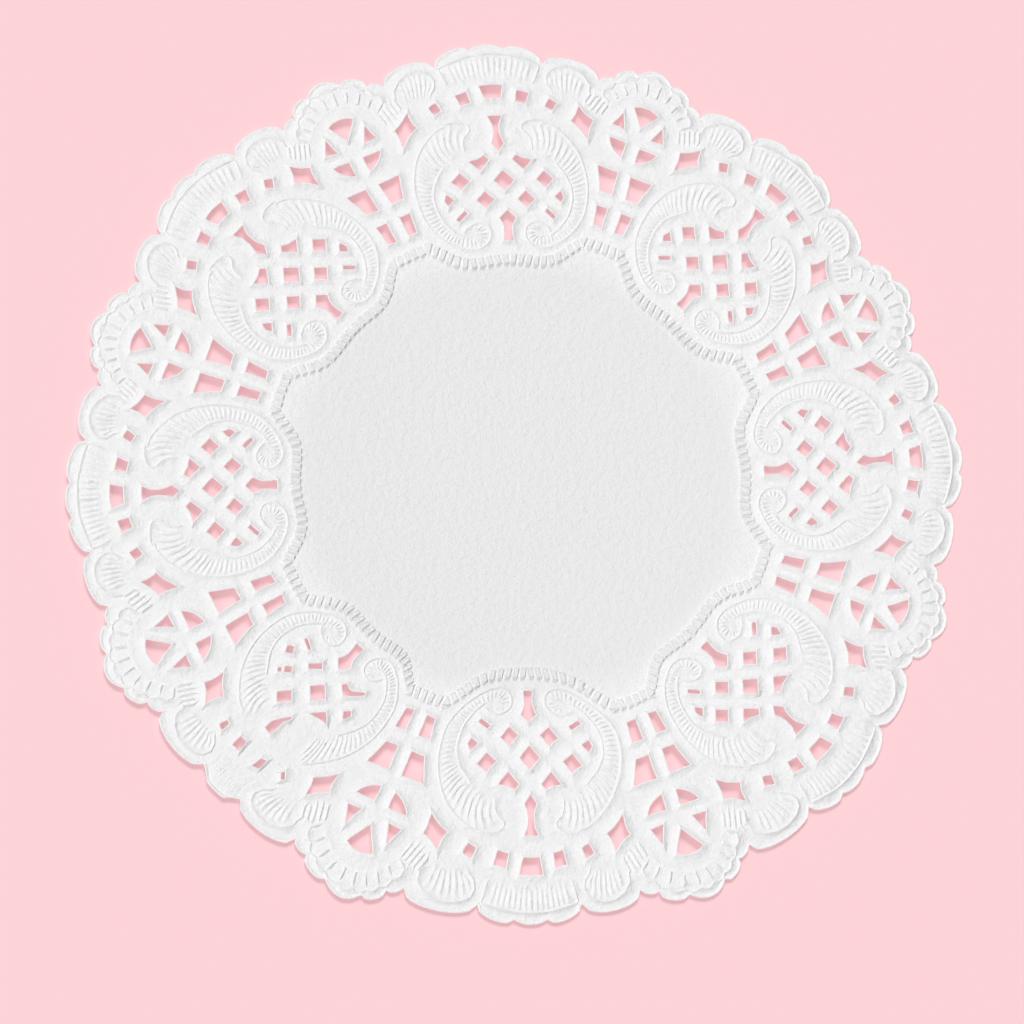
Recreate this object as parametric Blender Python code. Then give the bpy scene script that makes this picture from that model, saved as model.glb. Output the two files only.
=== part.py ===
"""A lace doily: one round sheet of embossed, die-cut paper, 8 inches across.

The pattern is worked out on half of one repeat, between the axis of a medallion
and the axis of the wheel beside it. The half is mirrored, the pair is turned
eight times, and a short table moves each repeat a little off its even place.

Pattern sizes are millimetres on the sheet. In the medallion's frame x runs
across it and y outwards from the middle of the sheet. In the wheel's frame u
and v do the same along the wheel's axis, 22.5 degrees clockwise.
"""
import math
from collections import namedtuple

import bmesh
import bpy
from mathutils import Vector
from mathutils.geometry import delaunay_2d_cdt

MM = 0.001
SHEET_THICKNESS = 1.0          # the flat of the sheet, a handling thickness
RELIEF = 0.5                   # how far the embossing stands above the flat
REPEATS = 8
HALF_REPEAT = math.radians(22.5)
MEASURED_TURN = 3.2            # degrees that the whole pattern is turned anticlockwise
PAPER_WHITE = (0.88, 0.88, 0.87, 1.0)

# ---------------------------------------------------------------- the outline
# From the medallion's axis to the wheel's axis the rim is a row of round lobes.
# Each row is a notch between two lobes, and how far the next lobe swells out.
Notch = namedtuple("Notch", "angle radius swell steps")
RIM = (
    Notch(angle=2.2, radius=99.9, swell=1.9, steps=4),
    Notch(angle=7.2, radius=96.6, swell=3.1, steps=5),
    Notch(angle=15.0, radius=94.9, swell=0.7, steps=2),
    Notch(angle=17.1, radius=96.2, swell=1.5, steps=3),
    Notch(angle=20.1, radius=98.7, swell=0.0, steps=1),
)
CENTRE_TIP = 101.0             # radius at the middle of the centre lobe
WHEEL_TIP = 100.8              # radius at the middle of the lobe over the wheel
Polar = namedtuple("Polar", "angle radius")
CENTRE_LOBE_SIDE = Polar(angle=1.1, radius=100.75)
LONE_LOBE_SIDE = Polar(angle=5.1, radius=99.5)       # where one lobe takes three lobes' place
WHEEL_LOBE_SIDE = Polar(angle=21.3, radius=100.45)

# ---------------------------------------------------------------- the medallion
SCROLL_CENTRE, SCROLL_RADIUS = (0.0, 68.0), 19.4
BASKET_CENTRE, BASKET_RADIUS = (0.0, 66.0), 14.8     # the inner edge of the scrolls
VOLUTE_CENTRE, VOLUTE_RADIUS = (6.4, 56.1), 2.9
LOBE_CENTRE, LOBE_SIZE = (4.9, 79.2), (3.3, 4.0)     # plain petal beside the upper keyhole

# A window is a box with a wider or a narrower inner side. Its outer side faces turn
# degrees clockwise from straight outwards.
Window = namedtuple("Window", "x y turn outer inner height")
MIDDLE_WINDOW = Window(x=0.0, y=89.6, turn=0.0, outer=5.5, inner=3.8, height=3.3)
WINDOWS = (
    Window(x=6.5, y=88.1, turn=18.0, outer=3.0, inner=2.5, height=2.9),        # of the ladder
    Window(x=12.8, y=86.1, turn=35.2, outer=2.2, inner=2.0, height=2.3),
    Window(x=9.45, y=68.7, turn=45.0, outer=3.04, inner=3.04, height=3.04),    # of the lattice
    Window(x=4.6, y=64.1, turn=45.0, outer=3.04, inner=3.04, height=3.04),
    Window(x=10.0, y=60.5, turn=45.0, outer=2.9, inner=2.9, height=1.1),
)

# The two keyholes on the axis, as heights and half widths.
Profile = namedtuple("Profile", "y half")
UPPER_KEYHOLE = (
    Profile(y=84.0, half=1.75),
    Profile(y=82.0, half=0.8),
    Profile(y=80.0, half=0.65),
    Profile(y=77.4, half=1.5),
    Profile(y=75.5, half=0.0),
)
LOWER_KEYHOLE = (
    Profile(y=61.7, half=0.0),
    Profile(y=59.8, half=2.0),
    Profile(y=57.6, half=0.9),
    Profile(y=54.4, half=1.1),
)

# The middle hole of the basket lattice. reach is half a diagonal.
LATTICE_CENTRE_Y, LATTICE_CENTRE_REACH = 68.6, 2.45
Corner = namedtuple("Corner", "x y")
UPPER_LATTICE = (            # its upper side is cut hollow by the petal above
    Corner(x=4.9, y=70.9),
    Corner(x=7.2, y=73.3),
    Corner(x=5.2, y=73.8),
    Corner(x=3.5, y=74.7),
    Corner(x=2.5, y=73.6),
)
CORNER_HOLE = (              # the three-cornered hole against the scroll
    Corner(x=11.2, y=64.5),
    Corner(x=12.9, y=66.0),
    Corner(x=13.5, y=64.2),
    Corner(x=12.7, y=63.0),
)
SHAPES = (UPPER_LATTICE, CORNER_HOLE)

# One medallion was squeezed in the press. Its holes have their own tables: ahead is
# clockwise of its axis, and behind is anticlockwise and mirrored.
AHEAD_WINDOWS = (
    Window(x=12.6, y=86.9, turn=30.0, outer=1.7, inner=1.3, height=2.2),
    Window(x=6.0, y=88.3, turn=5.0, outer=3.9, inner=2.5, height=2.8),
    Window(x=5.4, y=74.1, turn=47.0, outer=2.8, inner=2.8, height=3.7),
    Window(x=10.6, y=70.1, turn=52.0, outer=1.1, inner=1.3, height=1.1),       # one hole that a
    Window(x=9.0, y=68.9, turn=60.0, outer=1.6, inner=1.7, height=1.9),        # scrap crosses
    Window(x=4.5, y=64.5, turn=50.0, outer=1.5, inner=1.7, height=3.4),
    Window(x=11.8, y=65.2, turn=-25.0, outer=2.1, inner=1.8, height=1.9),
    Window(x=9.4, y=61.8, turn=28.0, outer=3.1, inner=3.1, height=0.9),
)
SLANTED_KEYHOLE = (
    Corner(x=1.6, y=82.8),
    Corner(x=3.9, y=82.3),
    Corner(x=3.7, y=80.1),
    Corner(x=0.8, y=76.4),
    Corner(x=0.4, y=76.7),
    Corner(x=1.4, y=78.6),
)
BEHIND_WINDOWS = (
    Window(x=2.0, y=88.8, turn=15.0, outer=2.7, inner=1.7, height=2.8),
    Window(x=10.7, y=86.8, turn=-19.0, outer=2.7, inner=2.9, height=0.9),
    Window(x=9.8, y=67.8, turn=-39.0, outer=2.4, inner=1.6, height=2.1),
)
FLAT_LATTICE = (
    Corner(x=1.6, y=73.4),
    Corner(x=4.8, y=70.4),
    Corner(x=7.7, y=72.4),
    Corner(x=4.7, y=72.8),
)
TORN_LATTICE = (
    Corner(x=2.8, y=63.7),
    Corner(x=3.6, y=62.7),
    Corner(x=4.9, y=63.3),
    Corner(x=6.4, y=63.2),
    Corner(x=9.1, y=61.5),
    Corner(x=9.5, y=62.1),
    Corner(x=7.4, y=63.9),
    Corner(x=5.1, y=65.5),
)
Half = namedtuple("Half", "windows shapes squeezed")
USUAL = Half(WINDOWS, SHAPES, False)
AHEAD = Half(AHEAD_WINDOWS, (SLANTED_KEYHOLE,), True)
BEHIND = Half(BEHIND_WINDOWS, (FLAT_LATTICE, TORN_LATTICE), True)

DIAMOND = (
    Corner(x=19.0, y=85.6),
    Corner(x=22.1, y=82.0),
    Corner(x=20.5, y=77.7),
    Corner(x=17.0, y=82.2),
)
DIAMOND_PINCH = 0.35         # how far each side of the diamond bends inwards

# ---------------------------------------------------------------- the wheel (u, v)
WHEEL_CENTRE, WHEEL_HOLE_RADIUS = (0.0, 84.6), 6.6
WHEEL_RING = 8.4             # crest of the plain ring round the wheel
CROSS_BAR_FOOT = 81.7        # under edge of the bar through the hub
SPOKE_HALF = 1.75
WEDGE_APEX, WEDGE_TURN = 86.5, 27.0
TRIANGLE = (                 # its apex by the hub, and its corners on the circle
    Corner(x=-3.3, y=84.6),
    Corner(x=-4.9, y=88.2),
    Corner(x=-6.4, y=84.8),
)
UPPER_WINDOW = (             # the larger window of the ladder below the wheel
    Corner(x=-1.5, y=74.7),
    Corner(x=-6.8, y=74.7),
    Corner(x=-4.6, y=69.1),
    Corner(x=-1.6, y=69.0),
)
LOWER_WINDOW = (
    Corner(x=-1.6, y=65.8),
    Corner(x=-4.3, y=65.8),
    Corner(x=-3.6, y=60.9),
    Corner(x=-1.5, y=60.7),
)

# Middle line of the row of teeth round the plain centre, from axis to axis.
TEETH_LINE = (
    Corner(x=0.0, y=50.4),
    Corner(x=4.5, y=50.0),
    Corner(x=9.0, y=49.7),
    Corner(x=14.0, y=52.0),
    Corner(x=17.8, y=54.0),
    Corner(x=19.8, y=53.2),
)
TEETH_END = 56.9             # where the line meets the wheel's axis
TEETH_WIDTH = 2.6

# ---------------------------------------------------------------- the embossing
# A rise is a share of RELIEF. Across a form, 0 is its outer edge and 1 its inner.
Row = namedtuple("Row", "across rise")
CREST, BAR_RISE, CROSSING_RISE, TEETH_RISE, FOOT = 1.0, 0.6, 0.9, 0.9, 0.2
SCROLL_TURNS = range(30, 145, 12)                # degrees round the scroll
SCROLL_ROWS = (Row(0.0, 0.1), Row(0.3, CREST), Row(0.95, FOOT))
LATTICE_CROSSINGS = (
    Corner(x=4.7, y=68.6),
    Corner(x=9.4, y=64.2),
    Corner(x=9.3, y=72.9),
    Corner(x=0.0, y=64.0),
    Corner(x=0.0, y=73.3),
)
LATTICE_BARS = (                                 # the middle of each bar
    Corner(x=2.35, y=66.3),
    Corner(x=2.4, y=70.9),
    Corner(x=7.1, y=66.3),
    Corner(x=7.1, y=70.9),
    Corner(x=7.2, y=61.9),
)
WHEEL_TURNS = range(0, 181, 20)                  # degrees round the wheel
WHEEL_BARS = (                                   # hub, spoke, ladder and cross bars
    Corner(x=0.0, y=84.2),
    Corner(x=0.0, y=79.8),
    Corner(x=0.0, y=72.1),
    Corner(x=0.0, y=67.7),
    Corner(x=0.0, y=63.4),
    Corner(x=-4.6, y=67.7),
    Corner(x=-2.3, y=87.4),
    Corner(x=-4.6, y=83.6),
)
WHEEL_RISE = 0.8
CENTRE_SHELL = (98.4, 95.6, 92.9)                # outer edge, crest and inner edge
CENTRE_SHELL_COLUMNS, CENTRE_SHELL_BEND = (0.0, 4.0, 8.0), 0.018
SIDE_SHELL_CENTRE, SIDE_SHELL_CREST, SIDE_SHELL_SIZE = (17.4, 91.0), (17.4, 91.2), (4.9, 3.6)
BORDER_TURNS, BORDER_EDGE, BORDER_CREST = range(0, 76, 15), 13.5, 11.5

# ---------------------------------------------------------------- how uneven it is
# How far each axis is off its even place, clockwise from the top. The turns are
# degrees clockwise and the pushes millimetres outwards, by the row of teeth, by
# the ladder of holes and at the rim.
RING_RADII = (60.0, 84.0, 96.0)
Drift = namedtuple("Drift", "teeth_turn ladder_turn rim_turn teeth_push ladder_push rim_push")
MEDALLION_DRIFTS = (
    Drift(1.2, -0.2, -0.6, 0.4, 0.1, 0.0),
    Drift(0.7, -0.2, -0.4, 0.0, -0.4, -0.8),
    Drift(0.7, -0.6, -0.5, 0.6, 0.2, -0.6),
    Drift(1.0, 0.7, 1.2, 0.5, -0.4, 0.1),
    Drift(2.4, 2.5, 2.8, -5.5, -3.2, -0.4),
    Drift(0.9, 0.6, 1.9, -1.5, -1.9, -1.6),
    Drift(0.8, -0.2, -0.8, 0.0, 0.4, 0.4),
    Drift(0.4, -0.3, -0.8, -0.1, 0.0, 0.2),
)
WHEEL_DRIFTS = (
    Drift(0.3, -0.2, -0.2, 0.2, 0.1, -0.2),
    Drift(0.1, -0.9, -0.9, 0.0, -0.4, -1.0),
    Drift(0.1, -0.4, -0.4, 0.2, 0.1, -0.2),
    Drift(0.0, 2.1, 2.1, -1.2, -0.8, 1.6),
    Drift(3.4, 4.2, 4.2, -2.9, -1.2, 1.8),
    Drift(-0.1, -0.9, -0.9, -0.8, 0.1, 1.6),
    Drift(0.0, -0.3, -0.3, 0.1, 0.3, 0.3),
    Drift(0.2, -0.6, -0.6, -0.4, -0.4, 0.1),
)
# The same for what lies on both sides of a medallion, in degrees clockwise: the
# outer and the inner notch of the rim, and the diamond hole of the ladder.
Beside = namedtuple("Beside", "outer_before inner_before inner_after outer_after "
                              "diamond_before diamond_after")
BESIDE_ANGLES = Beside(-15.0, -7.2, 7.2, 15.0, -13.4, 13.4)
BESIDE_TURNS = (
    Beside(-0.2, -0.6, -0.3, -0.1, -0.8, 0.1),
    Beside(-0.2, -0.2, -0.9, -0.9, -0.6, -0.6),
    Beside(-0.8, -1.0, -0.8, -0.4, -1.2, -0.4),
    Beside(-0.2, 0.4, 0.6, 2.3, -0.5, 1.7),
    Beside(3.1, 3.3, 2.6, 4.6, 2.4, 3.9),
    Beside(5.1, 6.0, -1.8, -0.9, 4.4, -0.8),
    Beside(-0.3, -0.6, 0.0, -0.1, -0.8, 0.0),
    Beside(0.2, -0.4, -0.1, -0.3, -0.6, -0.3),
)
WHEEL_TWIST, TWIST_REACH = 5.0, 15.0     # every wheel is turned a little about its hub
PLAIN_RADIUS, DRIFT_RADIUS = 20.0, 45.0  # the plain centre stays put, up to the first
CENTRING = (0.48, -0.09)     # brings the middle of the uneven outline to the origin
SQUEEZED_REPEAT = 5


def from_wheel(u, v):
    """A point of the wheel's frame, in the medallion's frame."""
    c, s = math.cos(HALF_REPEAT), math.sin(HALF_REPEAT)
    return (u * c + v * s, v * c - u * s)


def on_circle(centre, radius, degrees):
    """The point at that many degrees clockwise from the top of a circle."""
    a = math.radians(degrees)
    return (centre[0] + radius * math.sin(a), centre[1] + radius * math.cos(a))


def arc(start, end, swell, steps):
    """Points from start up to end, not end itself, on an arc that swells outwards."""
    (x0, y0), (x1, y1) = start, end
    across = math.hypot(x1 - x0, y1 - y0)
    out_x, out_y = (y0 - y1) / across, (x1 - x0) / across
    points = []
    for i in range(steps):
        t = i / steps
        bulge = swell * 4.0 * t * (1.0 - t)
        points.append((x0 + (x1 - x0) * t + out_x * bulge, y0 + (y1 - y0) * t + out_y * bulge))
    return points


def turned_box(centre, half_outer, half_inner, half_height, degrees):
    """Four corners of a box whose outer side faces that many degrees clockwise."""
    a = math.radians(degrees)
    out, side = (math.sin(a), math.cos(a)), (math.cos(a), -math.sin(a))
    rows = ((half_height, -half_outer), (half_height, half_outer),
            (-half_height, half_inner), (-half_height, -half_inner))
    return [(centre[0] + out[0] * h + side[0] * w, centre[1] + out[1] * h + side[1] * w)
            for h, w in rows]


def pinched(corners, depth):
    """A closed shape whose sides bend towards its middle."""
    mid_x = sum(x for x, _ in corners) / len(corners)
    mid_y = sum(y for _, y in corners) / len(corners)
    points = []
    for (x0, y0), (x1, y1) in zip(corners, corners[1:] + corners[:1]):
        hx, hy = (x0 + x1) / 2, (y0 + y1) / 2
        reach = math.hypot(mid_x - hx, mid_y - hy)
        points += [(x0, y0), (hx + (mid_x - hx) * depth / reach, hy + (mid_y - hy) * depth / reach)]
    return points


# ---------------------------------------------------------------- half a repeat
def rim_points(lone_lobe):
    """The outline from the medallion's axis to the wheel's axis."""
    rows = RIM[1:] if lone_lobe else RIM
    notches = [on_circle((0, 0), row.radius, row.angle) for row in rows]
    shoulders = (CENTRE_LOBE_SIDE, LONE_LOBE_SIDE) if lone_lobe else (CENTRE_LOBE_SIDE,)
    points = [(0.0, CENTRE_TIP)]
    points += [on_circle((0, 0), place.radius, place.angle) for place in shoulders]
    for row, start, end in zip(rows, notches, notches[1:]):
        points += arc(start, end, row.swell, row.steps)
    points.append(notches[-1])
    points.append(on_circle((0, 0), WHEEL_LOBE_SIDE.radius, WHEEL_LOBE_SIDE.angle))
    points.append(from_wheel(0.0, WHEEL_TIP))
    return points


def axis_holes(squeezed):
    """Half holes on the medallion's axis, each from its outer end to its inner end."""
    row = MIDDLE_WINDOW
    top, foot = row.y + row.height / 2, row.y - row.height / 2
    ladder = [(0.0, top), (row.outer / 2, top + 0.2), (row.inner / 2, foot), (0.0, foot + 0.1)]
    upper = [(0.0, UPPER_KEYHOLE[0].y)] + [(row.half, row.y) for row in UPPER_KEYHOLE]
    lower = [(row.half, row.y) for row in LOWER_KEYHOLE] + [(0.0, LOWER_KEYHOLE[-1].y)]
    reach, y = LATTICE_CENTRE_REACH, LATTICE_CENTRE_Y
    centre = [(0.0, y + reach), (reach, y), (0.0, y - reach)]
    return [centre, lower] if squeezed else [ladder, upper, centre, lower]


def wheel_axis_holes():
    """The half wedge on the wheel's axis, from its outer end to its inner end."""
    rim = [on_circle(WHEEL_CENTRE, WHEEL_HOLE_RADIUS, -WEDGE_TURN * t) for t in (0.0, 0.5, 1.0)]
    return [[from_wheel(u, v) for u, v in rim + [(0.0, WEDGE_APEX)]]]


def whole_holes(half):
    """The holes that lie wholly inside the half repeat."""
    holes = [turned_box((row.x, row.y), row.outer / 2, row.inner / 2, row.height / 2, row.turn)
             for row in half.windows]
    holes += [list(shape) for shape in half.shapes]
    holes.append(pinched(list(DIAMOND), DIAMOND_PINCH))
    foot = math.degrees(math.asin(SPOKE_HALF / WHEEL_HOLE_RADIUS))
    side = math.degrees(math.acos((WHEEL_CENTRE[1] - CROSS_BAR_FOOT) / WHEEL_HOLE_RADIUS))
    quarter = [on_circle(WHEEL_CENTRE, WHEEL_HOLE_RADIUS, 180.0 + side + (foot - side) * t)
               for t in (0.0, 0.33, 0.67, 1.0)]
    quarter.append((-SPOKE_HALF, CROSS_BAR_FOOT))
    for shape in (quarter, TRIANGLE, UPPER_WINDOW, LOWER_WINDOW):
        holes.append([from_wheel(u, v) for u, v in shape])
    return holes


Point = namedtuple("Point", "x y rise")


def ring_points(centre, size, turns, rise):
    return [Point(centre[0] + size[0] * math.sin(math.radians(t)),
                  centre[1] + size[1] * math.cos(math.radians(t)), rise) for t in turns]


def scroll_relief():
    """Foot, crest and foot of the scroll's crescent, its volute and the plain petal."""
    points = []
    for turn in SCROLL_TURNS:
        outer = on_circle(SCROLL_CENTRE, SCROLL_RADIUS, turn)
        inner = on_circle(BASKET_CENTRE, BASKET_RADIUS, turn)
        for row in SCROLL_ROWS:
            points.append(Point(outer[0] + (inner[0] - outer[0]) * row.across,
                                outer[1] + (inner[1] - outer[1]) * row.across, row.rise))
    around = range(-120, 240, 60)
    points += ring_points(VOLUTE_CENTRE, (VOLUTE_RADIUS, VOLUTE_RADIUS), around, FOOT)
    points.append(Point(*VOLUTE_CENTRE, CREST))
    points += ring_points(LOBE_CENTRE, LOBE_SIZE, around, FOOT)
    points.append(Point(*LOBE_CENTRE, CREST))
    return points


def lattice_relief():
    """The bars of the basket, proud where they cross and between their holes."""
    crossings = [Point(*place, CROSSING_RISE) for place in LATTICE_CROSSINGS]
    return crossings + [Point(*place, BAR_RISE) for place in LATTICE_BARS]


def wheel_relief():
    """The ring, the hub and the spokes of the wheel, and the ladder below it."""
    ring = [on_circle(WHEEL_CENTRE, WHEEL_RING, -turn) for turn in WHEEL_TURNS]
    return [Point(*from_wheel(u, v), WHEEL_RISE) for u, v in ring + list(WHEEL_BARS)]


def teeth_relief():
    """The row of teeth as one low bead with a foot on each side."""
    line = list(TEETH_LINE) + [from_wheel(0.0, TEETH_END)]
    rows = (Row(-0.5, 0.0), Row(0.0, TEETH_RISE), Row(0.5, 0.0))
    points = []
    for i, (x, y) in enumerate(line):
        x0, y0 = line[max(i - 1, 0)]
        x1, y1 = line[min(i + 1, len(line) - 1)]
        length = math.hypot(x1 - x0, y1 - y0)
        for row in rows:
            shift = TEETH_WIDTH * row.across
            place = (x + (y0 - y1) / length * shift, y + (x1 - x0) / length * shift)
            if i == 0:                           # both ends stay on their axes
                place = (x, y + shift)
            elif i == len(line) - 1:
                place = from_wheel(0.0, TEETH_END + shift)
            points.append(Point(*place, row.rise))
    return points


def rim_relief():
    """The fluted shells of the rim as low domes."""
    points = []
    for x in CENTRE_SHELL_COLUMNS:
        for y, rise in zip(CENTRE_SHELL, (0.0, CROSSING_RISE, FOOT)):
            points.append(Point(x, y - CENTRE_SHELL_BEND * x * x, rise))
    points += ring_points(SIDE_SHELL_CENTRE, SIDE_SHELL_SIZE, range(-90, 270, 60), FOOT)
    points.append(Point(*SIDE_SHELL_CREST, CREST))
    for turn in BORDER_TURNS:
        for radius, rise in ((BORDER_EDGE, 0.1), (BORDER_CREST, CROSSING_RISE)):
            points.append(Point(*from_wheel(*on_circle(WHEEL_CENTRE, radius, -turn)), rise))
    return points


def relief_points():
    return scroll_relief() + lattice_relief() + wheel_relief() + teeth_relief() + rim_relief()


def half_repeat(relief, half):
    """Corner points with their rise, and triangles, of half a repeat."""
    medallion_axis, wheel_axis = axis_holes(half.squeezed), wheel_axis_holes()
    rim = rim_points(half.squeezed)
    on_axis = [Point(x, y, 0.0) for hole in medallion_axis for x, y in hole if x == 0.0]
    on_wheel = [Point(*hole[i], 0.0) for hole in wheel_axis for i in (0, -1)]
    inside = []
    for point in relief:
        u = point.x * math.cos(HALF_REPEAT) - point.y * math.sin(HALF_REPEAT)
        if point.x < 1e-6:
            on_axis.append(Point(0.0, point.y, point.rise))
        elif abs(u) < 1e-6:
            on_wheel.append(point)
        else:
            inside.append(point)
    on_axis.sort(key=lambda p: p.y)
    on_wheel.sort(key=lambda p: -p.y)
    edge = ([Point(0.0, 0.0, 0.0)] + on_axis + [Point(x, y, 0.0) for x, y in rim] + on_wheel)
    loops = [edge]
    loops += [[Point(x, y, 0.0) for x, y in hole] for hole in medallion_axis + wheel_axis]
    loops += [[Point(x, y, 0.0) for x, y in hole] for hole in whole_holes(half)]
    corners, places, faces = [], {}, []
    for loop in loops:
        face = []
        for p in loop:
            key = (round(p.x, 5), round(p.y, 5))
            if key not in places:
                places[key] = len(corners)
                corners.append(p)
            face.append(places[key])
        area = sum(corners[a].x * corners[b].y - corners[b].x * corners[a].y
                   for a, b in zip(face, face[1:] + face[:1]))
        faces.append(face if area > 0 else face[::-1])
    corners += inside
    flat, _, triangles, sources, _, inputs = delaunay_2d_cdt(
        [Vector((p.x, p.y)) for p in corners], [], faces, 0, 1e-6, True)
    points = [Point(place.x, place.y, corners[source[0]].rise if source else 0.0)
              for place, source in zip(flat, sources)]
    kept = [tri for tri, inside_of in zip(triangles, inputs) if list(inside_of) == [0]]
    return points, kept


# ---------------------------------------------------------------- the whole sheet
def ease(t):
    t = min(max(t, 0.0), 1.0)
    return t * t * (3.0 - 2.0 * t)


def between(knots, angle):
    """The eased value at an angle, from (angle, value) knots that close round 360."""
    if angle > knots[-1][0]:
        angle -= 360.0
    before = (knots[-1][0] - 360.0, knots[-1][1])
    for after in knots:
        if angle <= after[0]:
            share = ease((angle - before[0]) / (after[0] - before[0]))
            return before[1] + (after[1] - before[1]) * share
        before = after
    return before[1]


def drift_knots():
    """Knots of the turn and of the push for the three rings, clockwise."""
    rings = []
    for ring in range(len(RING_RADII)):
        turns, pushes = [], []
        beside = ((), (4, 5), (0, 1, 2, 3))[ring]       # columns of BESIDE_TURNS
        for i, (medallion, wheel, turn) in enumerate(
                zip(MEDALLION_DRIFTS, WHEEL_DRIFTS, BESIDE_TURNS)):
            axis = 45.0 * i
            row = [(axis, medallion[ring]), (axis + 22.5, wheel[ring])]
            row += [(axis + BESIDE_ANGLES[k], turn[k]) for k in beside]
            turns += sorted(row)
            pushes += [(axis, medallion[ring + 3]), (axis + 22.5, wheel[ring + 3])]
        rings.append((turns, pushes))
    return rings


def twisted(x, y):
    """Where a point goes when the wheel beside it is turned about its hub."""
    axis = 45.0 * math.floor(math.degrees(math.atan2(x, y)) / 45.0) + 22.5
    hub_x, hub_y = on_circle((0.0, 0.0), WHEEL_CENTRE[1], axis)
    reach = math.hypot(x - hub_x, y - hub_y)
    a = math.radians(WHEEL_TWIST) * (1.0 - ease(reach / TWIST_REACH))
    dx, dy = x - hub_x, y - hub_y
    return (hub_x + dx * math.cos(a) + dy * math.sin(a), hub_y + dy * math.cos(a) - dx * math.sin(a))


def uneven(x, y, rings):
    """Where a point of the even pattern lies on the real sheet."""
    x, y = twisted(x, y)
    radius = math.hypot(x, y)
    angle = math.degrees(math.atan2(x, y)) % 360.0
    turns = [between(turn, angle) for turn, _ in rings]
    pushes = [between(push, angle) for _, push in rings]
    teeth, ladder, rim = RING_RADII
    to_ladder = ease((radius - teeth) / (ladder - teeth))
    to_rim = ease((radius - ladder) / (rim - ladder))
    turn, push = (values[0] + (values[1] - values[0]) * to_ladder
                  + (values[2] - values[1]) * to_rim for values in (turns, pushes))
    outside = ease((radius - PLAIN_RADIUS) / (DRIFT_RADIUS - PLAIN_RADIUS))
    a = math.radians(angle + turn * outside - MEASURED_TURN)
    radius += push * outside
    return (CENTRING[0] + radius * math.sin(a), CENTRING[1] + radius * math.cos(a))


def whole_layer(relief, rings, places, corners):
    """Sixteen copies of the half repeat, moved off their even places and joined."""
    usual, ahead, behind = (half_repeat(relief, half) for half in (USUAL, AHEAD, BEHIND))
    faces = []
    for turn in range(REPEATS):
        a = math.radians(360.0 / REPEATS * turn)
        c, s = math.cos(a), math.sin(a)
        for side in (1.0, -1.0):
            points, triangles = usual
            if turn == SQUEEZED_REPEAT:
                points, triangles = ahead if side > 0 else behind
            index = []
            for p in points:
                x, y = side * p.x, p.y
                x, y = x * c + y * s, y * c - x * s
                key = (round(x, 4) + 0.0, round(y, 4) + 0.0)
                if key not in places:
                    places[key] = len(corners)
                    corners.append((*uneven(x, y, rings), p.rise))
                index.append(places[key])
            for tri in triangles:
                face = [index[i] for i in tri]
                faces.append(face if side > 0 else face[::-1])
    return faces


def build_sheet():
    """The closed sheet: an embossed top, a flat underside and the cut edges."""
    rings = drift_knots()
    layers = []
    for relief in (relief_points(), []):
        corners, places = [], {}
        layers.append((corners, places, whole_layer(relief, rings, places, corners)))
    (top, top_places, top_faces), (foot, foot_places, foot_faces) = layers
    mesh = bmesh.new()
    upper = [mesh.verts.new((x * MM, y * MM, (SHEET_THICKNESS + RELIEF * rise) * MM))
             for x, y, rise in top]
    lower = [mesh.verts.new((x * MM, y * MM, 0.0)) for x, y, _ in foot]
    for face in top_faces:
        mesh.faces.new([upper[i] for i in face])
    for face in foot_faces:
        mesh.faces.new([lower[i] for i in reversed(face)])
    under = {top_places[key]: foot_places[key] for key in top_places if key in foot_places}
    mesh.verts.index_update()
    for edge in [e for e in mesh.edges if len(e.link_faces) == 1]:
        loop = edge.link_loops[0]
        a, b = loop.vert, loop.link_loop_next.vert
        if a.index >= len(upper):
            continue
        mesh.faces.new((b, a, lower[under[a.index]], lower[under[b.index]]))
    data = bpy.data.meshes.new("doily")
    mesh.to_mesh(data)
    mesh.free()
    return data


def paper():
    material = bpy.data.materials.new("white paper")
    material.use_nodes = True
    shader = material.node_tree.nodes["Principled BSDF"]
    shader.inputs["Base Color"].default_value = PAPER_WHITE
    shader.inputs["Roughness"].default_value = 0.85
    shader.inputs["Metallic"].default_value = 0.0
    return material


def main():
    for old in list(bpy.data.objects):
        bpy.data.objects.remove(old)
    data = build_sheet()
    data.materials.append(paper())
    doily = bpy.data.objects.new("doily", data)
    bpy.context.scene.collection.objects.link(doily)
    return doily


main()
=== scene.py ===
# %% [markdown]
# # A paper lace doily
#
# A paper doily is one sheet of thin white paper. A pair of steel dies presses the
# ornament into it and punches the lace holes out in the same stroke. The middle
# stays plain, because that is where the cake stands.
#
# The solid model of the sheet comes first, as a fixed frame. It says how large the
# sheet is and where it lies. Everything below dresses that frame and never resizes it.

# %% The frame
import math
from collections import namedtuple

import bpy
from mathutils import Matrix, Vector
from mathutils.geometry import delaunay_2d_cdt
from mathutils.kdtree import KDTree


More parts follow.
